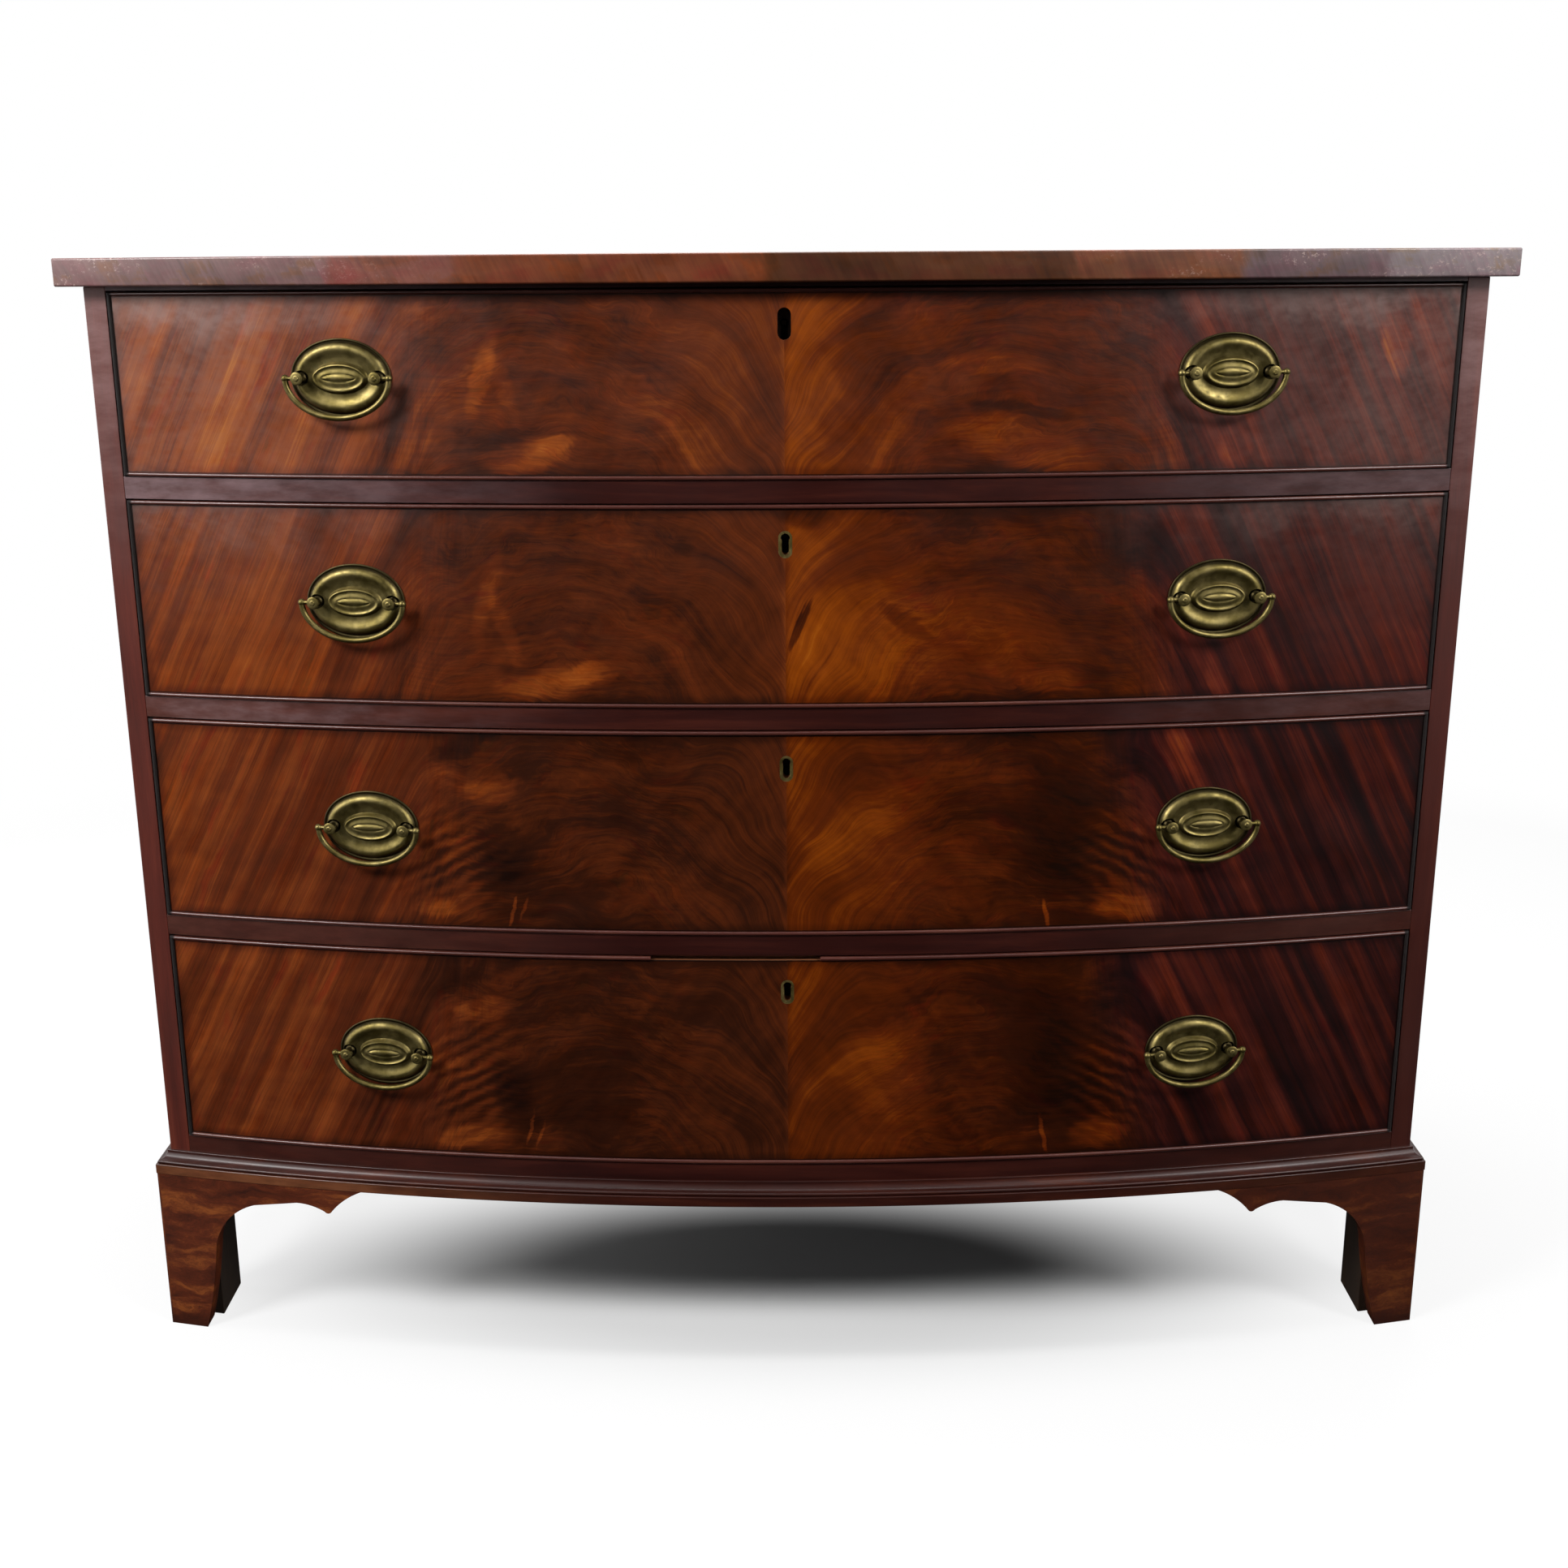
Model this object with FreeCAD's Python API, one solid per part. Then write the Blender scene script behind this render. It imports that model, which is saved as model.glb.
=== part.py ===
# Bow-front chest of four graduated long drawers on bracket feet, built up as a cabinet maker builds it.
#
# Frame: millimetres, +Z up. The bowed front looks towards -Y, and +X is on the right of someone facing it.
# Origin: on the floor, under the middle of the overall box.
#
# The case is two sides, a bottom board, drawer rails with runners and dust boards behind them, a thin top
# frame, three back boards and a top. A moulding is planted round its foot and stands on mitred brackets
# with glue blocks. Each drawer has a bowed front with book-matched veneer and cockbeads, dovetailed
# linings, a box lock with a sliding bolt, and two oval brass handles whose bails swing on pintles.

import FreeCAD
import Part
import math
import os

os.makedirs("parts", exist_ok=True)
Vec = FreeCAD.Vector

# Case
case_width = 1050.0             # over the two sides
case_depth = 455.0              # of a side, at its front corner
bow_rise = 60.0                 # of the middle of the front before its corners
side_thick = 18.0
foot_height = 142.5             # from the floor to the underside of the case
bottom_thick = 16.5
rail_thick = 17.0
rail_behind_corner = 45.0       # how far a rail reaches behind the front corners
opening_heights = [137.5, 155.0, 166.0, 180.0]      # from the top drawer to the bottom drawer
housing_depth = 6.0             # of the grooves in the sides
housing_stop = 8.0              # solid wood left in front of a groove
back_thick = 10.0
back_rebate = 8.0               # how far the back boards reach into the sides
back_board_count = 3
back_board_gap = 0.5

# Top
top_thick = 20.5
top_front_overhang = 14.0
top_side_overhang = 18.0
top_rear_overhang = 6.0
top_edge_round = 1.5
top_frame_thick = 3.0
top_frame_width = 50.0
top_screw_radius = 2.0
top_screw_head_radius = 4.0
top_screw_head_depth = 2.0
top_screw_grip = 11.0           # thread in the top
top_screw_inset = 120.0         # from the inside of the case's ends
screw_slack = 0.05

# Runners, dust boards and stops
runner_width = 32.0
dust_thick = 7.0
dust_tongue = 6.0
stop_height = 5.0
stop_length = 45.0
stop_depth = 16.0
stop_spread = 250.0             # from the middle of the case

# Foot moulding
moulding_height = 18.5
moulding_out = 11.0
moulding_lip_out = 2.0
moulding_lip_height = 1.0
moulding_cove_out = 8.0
moulding_cove_drop = 6.0
moulding_bead_height = 3.0
moulding_bead_swell = 1.6
moulding_flats = 5              # to a quarter of its curves

# Bracket feet. Widths are measured along a bracket from its outer corner, drops from its top
bracket_out = 10.5              # of a bracket's face before the case
bracket_thick = 18.5
bracket_foot = 33.0             # where it meets the floor
bracket_knee = 48.0             # where its inner edge begins to arch
bracket_knee_drop = 63.5
bracket_shin_bulge = 1.6
bracket_shoulder = 86.0         # where the arch runs into the wing
bracket_shoulder_drop = 20.5
bracket_arch_bulge = 8.0
bracket_crest = 124.0           # the highest point of the wing's underside
bracket_crest_rise = 6.0        # above the shoulder and the spur
bracket_spur = 148.0            # the small point on the wing
bracket_spur_bulge = 1.6
bracket_spur_width = 6.0
bracket_cove_bulge = 2.2
bracket_wing = 181.0            # whole width of a front bracket
side_bracket_wing = 150.0
rear_bracket_wing = 130.0
rear_bracket_foot = 60.0
rear_bracket_thick = 18.0
block_width = 24.0
block_depth = 46.0
block_lift = 2.0                # the blocks stay clear of the floor
tie_block = 22.0
tie_block_height = 11.0
tie_block_length = 70.0

# Drawers
drawer_side_gap = 1.0           # beside a drawer front
drawer_top_gap = 1.0
drawer_run_gap = 0.3            # under a drawer, and before its stops
drawer_rear_gap = 12.0
front_thick = 24.0
veneer_thick = 1.0
front_lap = 10.0                # wood left before the dovetails
bead_thick = 3.0
bead_depth = 9.0
bead_proud = 1.8
lining_thick = 11.0
lining_drop = 8.0               # of a drawer side below the top of its front
lining_back_thick = 12.0
lining_back_drop = 4.0          # of a drawer back below its sides
drawer_bottom_thick = 7.0
drawer_bottom_lift = 8.0
drawer_bottom_tongue = 5.0
dovetail_pitch = 38.0
dovetail_narrow = 0.52          # share of the pitch at a tail's root
dovetail_wide = 0.74            # share of the pitch at a tail's end

# Handles
handle_spread = 328.0           # from the middle of the front, measured along the bow
handle_rises = [6.0, 3.0, 2.0, 1.0]     # over the middle of each front, from the top drawer down
plate_half_width = 38.6
plate_half_height = 28.6
plate_thick = 7.0               # to the top of its boss
boss_half_width = 20.5
boss_half_height = 10.2
post_spread = 29.8              # of a post from the middle of its plate
post_stand = 9.5                # from the drawer front to the pivot
post_shank_radius = 2.1
post_neck_radius = 2.6
post_collar_radius = 3.9
post_collar_height = 1.6
post_head_radius = 4.3
post_seat = 1.5                 # wall of the plate under a collar
post_room_radius = 5.0          # of the hollow in the plate round a post
shank_slack = 0.3
nut_radius = 6.0
nut_height = 3.5
shank_past_nut = 1.5
bail_half_width = 39.8
bail_drop = 28.6
bail_end_radius = 24.0          # of its curve below each tip
bail_radius = 2.3
bail_tip_radius = 2.8
pintle_radius = 1.6
pintle_slack = 0.08
pintle_reach = 4.0              # past the middle of its post

# Locks. Drops are measured down from the top edge of the drawer front
lock_plate_half_width = 35.0
lock_plate_height = 46.0
lock_plate_thick = 1.5
selvedge_thick = 1.8
selvedge_depth = 14.0
lock_case_half_width = 28.0
lock_case_height = 44.0
lock_case_depth = 13.0
lock_case_wall = 1.2
lock_slack = 0.2
bolt_half_width = 20.0
bolt_shoulder_drop = 12.0
bolt_plate_height = 26.0
bolt_head_half_width = 11.0
bolt_thick = 4.0
bolt_rest_drop = 0.3
bolt_throw = 6.5
bolt_notch_half_width = 5.0
bolt_notch_rise = 4.0           # over the key pin
mortise_slack = 0.8
key_pin_drop = 24.5
key_pin_radius = 1.5
key_eye_radius = 3.3
key_slot_radius = 2.6
key_slot_length = 10.0
escutcheon_radius = 5.2
escutcheon_depth = 2.0
bare_hole_radius = 4.9
bare_hole_rise = 6.0            # of its upper centre over the key pin
bare_hole_fall = 7.0            # of its lower centre under the key pin
tumbler_length = 36.0
tumbler_height = 4.0
tumbler_thick = 1.8
tumbler_rise = 5.0              # over the key pin
tumbler_pivot_radius = 2.0
lock_screw_radius = 1.6
lock_screw_head_radius = 3.0
lock_screw_length = 9.0
lock_screw_inset = 4.0

# Worked out from the sizes above
half_case = case_width / 2
half_inside = half_case - side_thick
half_housed = half_inside + housing_depth
half_top = half_case + top_side_overhang
overall_depth = top_rear_overhang + case_depth + bow_rise + top_front_overhang
corner_y = top_front_overhang + bow_rise - overall_depth / 2
front_y = corner_y - bow_rise
back_y = corner_y + case_depth
inner_back_y = back_y - back_thick
rail_rear_y = corner_y + rail_behind_corner
drawer_rear_y = inner_back_y - drawer_rear_gap
bow_radius = (half_case ** 2 + bow_rise ** 2) / (2 * bow_rise)
bow_centre_y = front_y + bow_radius
half_drawer = half_inside - drawer_side_gap
half_lining = half_drawer - lining_thick
lowest_rail_z = foot_height + bottom_thick


def rail_levels():
    """Underside of each rail, from the one under the top drawer down to the lowest."""
    levels = []
    z = lowest_rail_z
    for height in reversed(opening_heights):
        levels.insert(0, z)
        z += rail_thick + height
    return levels


rail_z = rail_levels()
frame_z = rail_z[0] + rail_thick + opening_heights[0]
top_z = frame_z + top_frame_thick
overall_height = top_z + top_thick


# Shapes that the pieces are made from

def bow_y(x, out=0.0):
    """Y of the bowed face at x, or of the same arc moved outwards by out."""
    return bow_centre_y - math.sqrt((bow_radius + out) ** 2 - x ** 2)


def bow_arc(x0, x1, out, z):
    return Part.Arc(*[Vec(x, bow_y(x, out), z) for x in (x0, (x0 + x1) / 2, x1)]).toShape()


def box(x0, x1, y0, y1, z0, z1):
    return Part.makeBox(x1 - x0, y1 - y0, z1 - z0, Vec(x0, y0, z0))


def extruded(edges, direction):
    return Part.Face(Part.Wire(Part.__sortEdges__(edges))).extrude(direction)


def polygon_prism(points, direction):
    return Part.Face(Part.makePolygon(points + points[:1])).extrude(direction)


def bow_board(x0, x1, out, rear_y, z0, z1):
    """A board with a bowed front edge and a straight rear edge."""
    rear = [Vec(x1, rear_y, z0), Vec(x0, rear_y, z0)]
    ends = [Vec(x1, bow_y(x1, out), z0), Vec(x0, bow_y(x0, out), z0)]
    edges = [bow_arc(x0, x1, out, z0), Part.makeLine(*rear)]
    edges += [Part.makeLine(end, corner) for end, corner in zip(ends, rear)]
    return extruded(edges, Vec(0, 0, z1 - z0))


def bow_band(x0, x1, out_front, out_rear, z0, z1):
    """A curved plank between two arcs of the bow."""
    edges = [bow_arc(x0, x1, out_front, z0), bow_arc(x0, x1, out_rear, z0)]
    for x in (x0, x1):
        edges.append(Part.makeLine(Vec(x, bow_y(x, out_front), z0), Vec(x, bow_y(x, out_rear), z0)))
    return extruded(edges, Vec(0, 0, z1 - z0))


def curved_outline(corners, place):
    """A closed outline through (along, height, bulge) corners, which place turns into points.

    The run that ends at a corner is straight, or an arc whose middle stands off by its bulge.
    """
    edges = []
    for (a0, h0, _), (a1, h1, bulge) in zip(corners, corners[1:] + corners[:1]):
        start = place(a0, h0)
        end = place(a1, h1)
        if bulge == 0:
            edges.append(Part.makeLine(start, end))
        else:
            off = bulge / math.hypot(a1 - a0, h1 - h0)
            middle = place((a0 + a1) / 2 + off * (h1 - h0), (h0 + h1) / 2 - off * (a1 - a0))
            edges.append(Part.Arc(start, middle, end).toShape())
    return edges


def quarter_curve(x0, z0, x1, z1, upright_first):
    """The corners, after the first, of a quarter oval in flats that sets out upright or level."""
    corners = []
    for n in range(1, moulding_flats + 1):
        angle = math.pi / 2 * n / moulding_flats
        slow, fast = 1 - math.cos(angle), math.sin(angle)
        along_x, along_z = (slow, fast) if upright_first else (fast, slow)
        corners.append((x0 + (x1 - x0) * along_x, z0 + (z1 - z0) * along_z))
    return corners


def cylinder(radius, start, end):
    along = end - start
    return Part.makeCylinder(radius, along.Length, start, along)


def countersunk(radius, head_radius, head_depth, start, end):
    """A screw, or its hole, with its head at the start."""
    head = Part.makeCone(head_radius, radius, head_depth, start, end - start)
    return joined(cylinder(radius, start, end), head)


def upright_slot(radius, z_high, z_low, y0, y1):
    """A slot with round ends, one above the other, cut along Y on the middle line."""
    ends = [cylinder(radius, Vec(0, y0, z), Vec(0, y1, z)) for z in (z_high, z_low)]
    return joined(box(-radius, radius, y0, y1, z_low, z_high), *ends)


def joined(first, *others):
    return first.fuse(list(others)).removeSplitter()


def mirrored(shape):
    """The same piece for the other side of the chest."""
    return shape.mirror(Vec(0, 0, 0), Vec(1, 0, 0))


def both_sides(shape):
    return [shape, mirrored(shape)]


def raised(shape, z):
    return shape.translated(Vec(0, 0, z))


def save(name, *pieces):
    """Writes one node. Every piece in it stays a solid of its own."""
    solids = [solid for piece in pieces for solid in piece.Solids]
    faulty = [solid for solid in solids if not solid.isValid() or solid.Volume <= 0]
    if faulty or len(solids) != len(pieces):
        raise ValueError(f"{name}: {len(solids)} solids for {len(pieces)} pieces, {len(faulty)} not sound")
    shape = solids[0] if len(solids) == 1 else Part.makeCompound(solids)
    shape.exportStep(f"parts/{name}.step")
    print(name, len(solids), round(sum(solid.Volume for solid in solids)))


# Locks, drawn in the middle of the front with the drawer front's top edge at height 0

lock_y = bow_y(0, -front_thick)             # the inner face of the drawer fronts
lock_plate_y = lock_y - lock_plate_thick
bolt_rear_y = lock_plate_y - lock_slack
bolt_front_y = bolt_rear_y - bolt_thick
lock_case_y = lock_y - lock_case_depth
selvedge_y = lock_y - selvedge_depth


def lock_screws(slack):
    """The four screws of a lock, or the holes that they need."""
    screws = []
    for x in (lock_screw_inset - lock_plate_half_width, lock_plate_half_width - lock_screw_inset):
        for drop in (lock_screw_inset + selvedge_thick, lock_plate_height - lock_screw_inset):
            start = Vec(x, lock_y, -drop)
            end = start - Vec(0, lock_screw_length, 0)
            radii = (lock_screw_radius + slack, lock_screw_head_radius + slack)
            screws.append(countersunk(*radii, lock_plate_thick, start, end))
    return screws


def bolt_room(z_low, z_high, slack):
    """The space of the bolt's head, with a clearance all round."""
    half = bolt_head_half_width + slack
    return box(-half, half, bolt_front_y - slack, bolt_rear_y + slack, z_low, z_high)


def lock_plate():
    """The back plate with its selvedge bent over the top edge of the drawer front."""
    half = lock_plate_half_width
    plate = box(-half, half, lock_plate_y, lock_y, -lock_plate_height, 0)
    selvedge = box(-half, half, selvedge_y, lock_y, -selvedge_thick, 0)
    slot = bolt_room(-2 * selvedge_thick, selvedge_thick, lock_slack)
    return joined(plate, selvedge).cut([slot] + lock_screws(screw_slack))


def key_way(y0, y1):
    """The keyhole: a round eye over a slot."""
    eye = cylinder(key_eye_radius, Vec(0, y0, -key_pin_drop), Vec(0, y1, -key_pin_drop))
    slot_end = -key_pin_drop - key_slot_length
    return joined(eye, upright_slot(key_slot_radius, -key_pin_drop, slot_end, y0, y1))


def lock_case():
    """The open-backed box that covers the bolt, with the keyhole in its front."""
    half = lock_case_half_width
    wall = lock_case_wall
    low = -lock_case_height
    outer = box(-half, half, lock_case_y, lock_plate_y, low, -selvedge_thick)
    inner = box(wall - half, half - wall, lock_case_y + wall, lock_y, low + wall, 0)
    return outer.cut([inner, key_way(front_y, lock_plate_y)])


def key_pin():
    return cylinder(key_pin_radius, Vec(0, lock_plate_y, -key_pin_drop), Vec(0, lock_case_y, -key_pin_drop))


def tumbler():
    """The sprung lever that holds the bolt, on its pivot beside the bolt."""
    low = tumbler_rise - key_pin_drop
    left = lock_case_wall + lock_slack - lock_case_half_width
    rear = bolt_front_y - lock_slack
    lever = box(left, left + tumbler_length, rear - tumbler_thick, rear, low, low + tumbler_height)
    x = (left - bolt_half_width) / 2
    z = low + tumbler_height / 2
    return joined(lever, cylinder(tumbler_pivot_radius, Vec(x, lock_plate_y, z), Vec(x, rear, z)))


def lock_bolt():
    """The sliding bolt, drawn back: its head lies just under the top of the selvedge."""
    half = bolt_half_width
    low = -bolt_shoulder_drop - bolt_plate_height
    plate = box(-half, half, bolt_front_y, bolt_rear_y, low, -bolt_shoulder_drop)
    half = bolt_notch_half_width
    notch = box(-half, half, lock_case_y, lock_y, low - 1, bolt_notch_rise - key_pin_drop)
    return joined(plate, bolt_room(-bolt_shoulder_drop, -bolt_rest_drop, 0.0)).cut(notch)


def escutcheon_blank():
    """The brass thread round a keyhole, let in flush, before the keyhole is cut."""
    slot_end = -key_pin_drop - key_slot_length
    return upright_slot(escutcheon_radius, -key_pin_drop, slot_end, front_y, front_y + escutcheon_depth)


def bare_hole():
    """The larger hole that is left where the top drawer's escutcheon is missing."""
    high = bare_hole_rise - key_pin_drop
    low = -bare_hole_fall - key_pin_drop
    return upright_slot(bare_hole_radius, high, low, front_y - bead_depth, lock_y)


def lock_recess():
    """What is cut from the inner face of a drawer front to let the lock in."""
    beyond = lock_y + front_thick
    half = lock_plate_half_width
    plate = box(-half, half, lock_plate_y, beyond, -lock_plate_height, bead_thick)
    selvedge = box(-half, half, selvedge_y, beyond, -selvedge_thick, bead_thick)
    half = lock_case_half_width
    case = box(-half, half, lock_case_y, beyond, -lock_case_height, 0)
    return joined(plate, selvedge, case).fuse(lock_screws(screw_slack))


lock_pieces = [lock_plate(), lock_case(), key_pin(), tumbler()] + lock_screws(0.0)
recess = lock_recess()
bolt = lock_bolt()
keyhole = key_way(front_y - bead_depth, lock_y)
bare_keyhole = bare_hole()
thread_blank = escutcheon_blank()
escutcheon = thread_blank.cut(keyhole)


# Handles, drawn flat with X along the drawer, Y up and Z outwards, and then set on the bow

def ellipse_wire(half_width, half_height, z):
    return Part.Wire([Part.Ellipse(Vec(0, 0, z), half_width, half_height).toShape()])


def handle_plate():
    """A stamped oval plate: a rounded border, a dish, and a raised oval boss with a ridged rim.

    Each ring is a share of the half sizes, and a share of the thickness.
    """
    border = [(1.0, 0.0), (1.0, 0.16), (0.955, 0.16), (0.91, 0.42), (0.86, 0.63)]
    dish = [(0.8, 0.69), (0.73, 0.64), (0.63, 0.47), (0.56, 0.4)]
    boss = [(1.0, 0.4), (0.95, 0.84), (0.87, 0.92), (0.78, 0.8), (0.45, 0.85), (0.2, 1.0)]
    wires = []
    for rings, half_width, half_height in (
        (border + dish, plate_half_width, plate_half_height),
        (boss, boss_half_width, boss_half_height),
    ):
        wires += [ellipse_wire(half_width * s, half_height * s, plate_thick * h) for s, h in rings]
    plate = Part.makeLoft(wires, True, True)
    holes = [shank_hole(x, -plate_thick) for x in (-post_spread, post_spread)]
    holes += [post_room(x) for x in (-post_spread, post_spread)]
    return plate.cut(holes)


def shank_hole(x, start_z):
    return cylinder(post_shank_radius + shank_slack, Vec(x, 0, start_z), Vec(x, 0, post_stand))


def post_room(x):
    return cylinder(post_room_radius, Vec(x, 0, post_seat), Vec(x, 0, post_stand))


def nut_seat():
    """How far behind the bow a nut's flat face lies, to clear the curve of the inner face."""
    reach = post_spread + nut_radius
    inner_radius = bow_radius - front_thick
    return front_thick + inner_radius - math.sqrt(inner_radius ** 2 - reach ** 2)


def handle_post(x):
    """A post with its collar, ball head and threaded shank, bored across for the pintle."""
    shank_end = -nut_seat() - nut_height - shank_past_nut
    centre = Vec(x, 0, post_stand)
    seat = Vec(x, 0, post_seat)
    shank = cylinder(post_shank_radius, Vec(x, 0, shank_end), seat)
    collar = cylinder(post_collar_radius, seat, seat + Vec(0, 0, post_collar_height))
    neck = cylinder(post_neck_radius, seat, centre)
    head = Part.makeSphere(post_head_radius, centre)
    across = Vec(2 * post_head_radius, 0, 0)
    bore = cylinder(pintle_radius + pintle_slack, centre - across, centre + across)
    return joined(shank, collar, neck, head).cut(bore)


def handle_nut(x):
    seat = -nut_seat()
    corners = [math.radians(60 * n) for n in range(6)]
    outline = [Vec(x + nut_radius * math.cos(a), nut_radius * math.sin(a), seat) for a in corners]
    nut = polygon_prism(outline, Vec(0, 0, -nut_height))
    hole = cylinder(post_shank_radius + screw_slack, Vec(x, 0, seat), Vec(x, 0, seat - nut_height))
    return nut.cut(hole)


def bail_path():
    """Half of a three-centred oval, hanging from the two tips."""
    reach = bail_half_width - bail_end_radius
    spare = bail_drop - bail_end_radius
    low_radius = (reach ** 2 + bail_drop ** 2 - bail_end_radius ** 2) / (2 * spare)
    turn = math.atan2(low_radius - bail_drop, reach)
    meet = Vec(reach + bail_end_radius * math.cos(turn), -bail_end_radius * math.sin(turn), post_stand)
    bend = Vec(
        reach + bail_end_radius * math.cos(turn / 2),
        -bail_end_radius * math.sin(turn / 2),
        post_stand,
    )
    tip = Vec(bail_half_width, 0, post_stand)
    across = [Vec(-point.x, point.y, point.z) for point in (tip, bend, meet)]
    arcs = [across, [across[2], Vec(0, -bail_drop, post_stand), meet], [meet, bend, tip]]
    return Part.Wire([Part.Arc(*points).toShape() for points in arcs])


def handle_bail():
    """The swinging half-oval grip, hanging down, with its ball tips and two pintles."""
    start = Vec(-bail_half_width, 0, post_stand)
    section = Part.Face(Part.Wire([Part.makeCircle(bail_radius, start, Vec(0, -1, 0))]))
    grip = bail_path().makePipe(section)
    ends = []
    for side in (-1, 1):
        tip = Vec(side * bail_half_width, 0, post_stand)
        inner = Vec(side * (post_spread - pintle_reach), 0, post_stand)
        ends += [Part.makeSphere(bail_tip_radius, tip), cylinder(pintle_radius, tip, inner)]
    return joined(grip, *ends)


def on_bow(shape, side):
    """Sets a flat-drawn piece on the left (-1) or right (1) of the bow, at height 0."""
    angle = side * handle_spread / bow_radius
    x = bow_radius * math.sin(angle)
    placed = shape.copy()
    placed.rotate(Vec(0, 0, 0), Vec(1, 0, 0), 90)
    placed.rotate(Vec(0, 0, 0), Vec(0, 0, 1), math.degrees(angle))
    placed.translate(Vec(x, bow_y(x), 0))
    return placed


def handle_mount_pieces():
    """The plate, posts and nuts of one handle."""
    pieces = [handle_plate()]
    for x in (-post_spread, post_spread):
        pieces += [handle_post(x), handle_nut(x)]
    return pieces


flat_mounts = handle_mount_pieces()
flat_bail = handle_bail()
mount_pieces = [on_bow(piece, side) for side in (-1, 1) for piece in flat_mounts]
bails = {"left": on_bow(flat_bail, -1), "right": on_bow(flat_bail, 1)}
shank_holes = [
    on_bow(shank_hole(x, -2 * front_thick), side) for side in (-1, 1) for x in (-post_spread, post_spread)
]


# Drawers

def dovetails(z0, z1, root_y, end_y):
    """Tails on the right lining between two heights, each wider at its end than at its root."""
    count = max(2, round((z1 - z0) / dovetail_pitch))
    pitch = (z1 - z0) / count
    root = pitch * dovetail_narrow / 2
    end = pitch * dovetail_wide / 2
    tails = []
    for n in range(count):
        z = z0 + pitch * (n + 0.5)
        outline = [(root_y, z - root), (end_y, z - end), (end_y, z + end), (root_y, z + root)]
        points = [Vec(half_lining, y, height) for y, height in outline]
        tails.append(polygon_prism(points, Vec(lining_thick, 0, 0)))
    return tails


def cockbead(outline):
    """A bead, given its outline from the front, that follows the bow."""
    xs = [x for x, z in outline]
    zs = [z for x, z in outline]
    band = bow_band(min(xs), max(xs), bead_proud, -bead_depth, min(zs), max(zs))
    points = [Vec(x, front_y - bow_rise, z) for x, z in outline]
    return band.common(polygon_prism(points, Vec(0, case_depth, 0)))


def cockbeads(z0, z1):
    """Four mitred beads round a drawer front."""
    w = half_drawer
    t = bead_thick
    top = [(-w, z1), (w, z1), (w - t, z1 - t), (t - w, z1 - t)]
    bottom = [(-w, z0), (w, z0), (w - t, z0 + t), (t - w, z0 + t)]
    end = [(w, z0), (w, z1), (w - t, z1 - t), (w - t, z0 + t)]
    return [cockbead(top), cockbead(bottom)] + both_sides(cockbead(end))


def drawer_floor(z0):
    low = z0 + drawer_bottom_lift
    half = half_lining + drawer_bottom_tongue
    out = drawer_bottom_tongue - front_thick
    return bow_board(-half, half, out, drawer_rear_y, low, low + drawer_bottom_thick)


def drawer_linings(z0, z1, floor):
    """The right lining, the drawer back, and the tails that the front has to take."""
    lining_top = z1 - lining_drop
    floor_top = z0 + drawer_bottom_lift + drawer_bottom_thick
    back_top = lining_top - lining_back_drop
    back_y0 = drawer_rear_y - lining_back_thick

    back = box(-half_drawer, half_drawer, back_y0, drawer_rear_y, floor_top, back_top)
    for tail in dovetails(floor_top, back_top, back_y0, drawer_rear_y):
        back = back.cut(both_sides(tail))

    root_y = bow_y(half_drawer, -2 * front_thick)
    end_y = bow_y(half_lining, -front_lap) - bead_thick
    lap_zone = bow_band(half_lining, half_drawer, -front_lap, -front_thick, z0, lining_top)
    front_tails = [tail.common(lap_zone) for tail in dovetails(z0, lining_top, root_y, end_y)]
    lining = bow_board(half_lining, half_drawer, -front_thick, drawer_rear_y, z0, lining_top)
    lining = joined(lining, *front_tails).cut([floor, back])
    return lining, back, front_tails


def drawer_front(z0, z1):
    """The core of a front, rebated for the cockbeads, and its two veneer leaves."""
    core = bow_band(-half_drawer, half_drawer, -veneer_thick, -front_thick, z0, z1)
    half = half_drawer - bead_thick
    low = z0 + bead_thick
    high = z1 - bead_thick
    rim = bow_band(-half_drawer, half_drawer, 0, -bead_depth, z0, z1)
    core = core.cut(rim.cut(bow_band(-half, half, 0, -bead_depth, low, high)))
    return core, both_sides(bow_band(0, half, 0, -veneer_thick, low, high))


def make_drawer(number, rail_top, opening):
    name = f"drawer_{number}"
    z0 = rail_top + drawer_run_gap
    z1 = rail_top + opening - drawer_top_gap
    handle_z = (z0 + z1) / 2 + handle_rises[number - 1]
    floor = drawer_floor(z0)
    lining, back, front_tails = drawer_linings(z0, z1, floor)
    core, veneers = drawer_front(z0, z1)

    lock = [raised(piece, z1) for piece in lock_pieces]
    through = [raised(hole, handle_z) for hole in shank_holes]
    if number == 1:
        through.append(raised(bare_keyhole, z1))
    else:
        through += [raised(keyhole, z1), raised(thread_blank, z1)]
        lock.append(raised(escutcheon, z1))
    tail_sockets = [socket for tail in front_tails for socket in both_sides(tail)]
    core = core.cut(tail_sockets + [floor, raised(recess, z1)] + through)
    veneers = [leaf.cut(through) for leaf in veneers]

    save(f"{name}_front", core)
    save(f"{name}_veneer_and_beads", *veneers, *cockbeads(z0, z1))
    save(f"{name}_sides", *both_sides(lining))
    save(f"{name}_back", back)
    save(f"{name}_bottom", floor)
    save(f"{name}_lock", *lock)
    save(f"{name}_lock_bolt", raised(bolt, z1))
    save(f"{name}_handle_mounts", *[raised(piece, handle_z) for piece in mount_pieces])
    for side, bail in bails.items():
        save(f"{name}_bail_{side}", raised(bail, handle_z))


# Case

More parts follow.
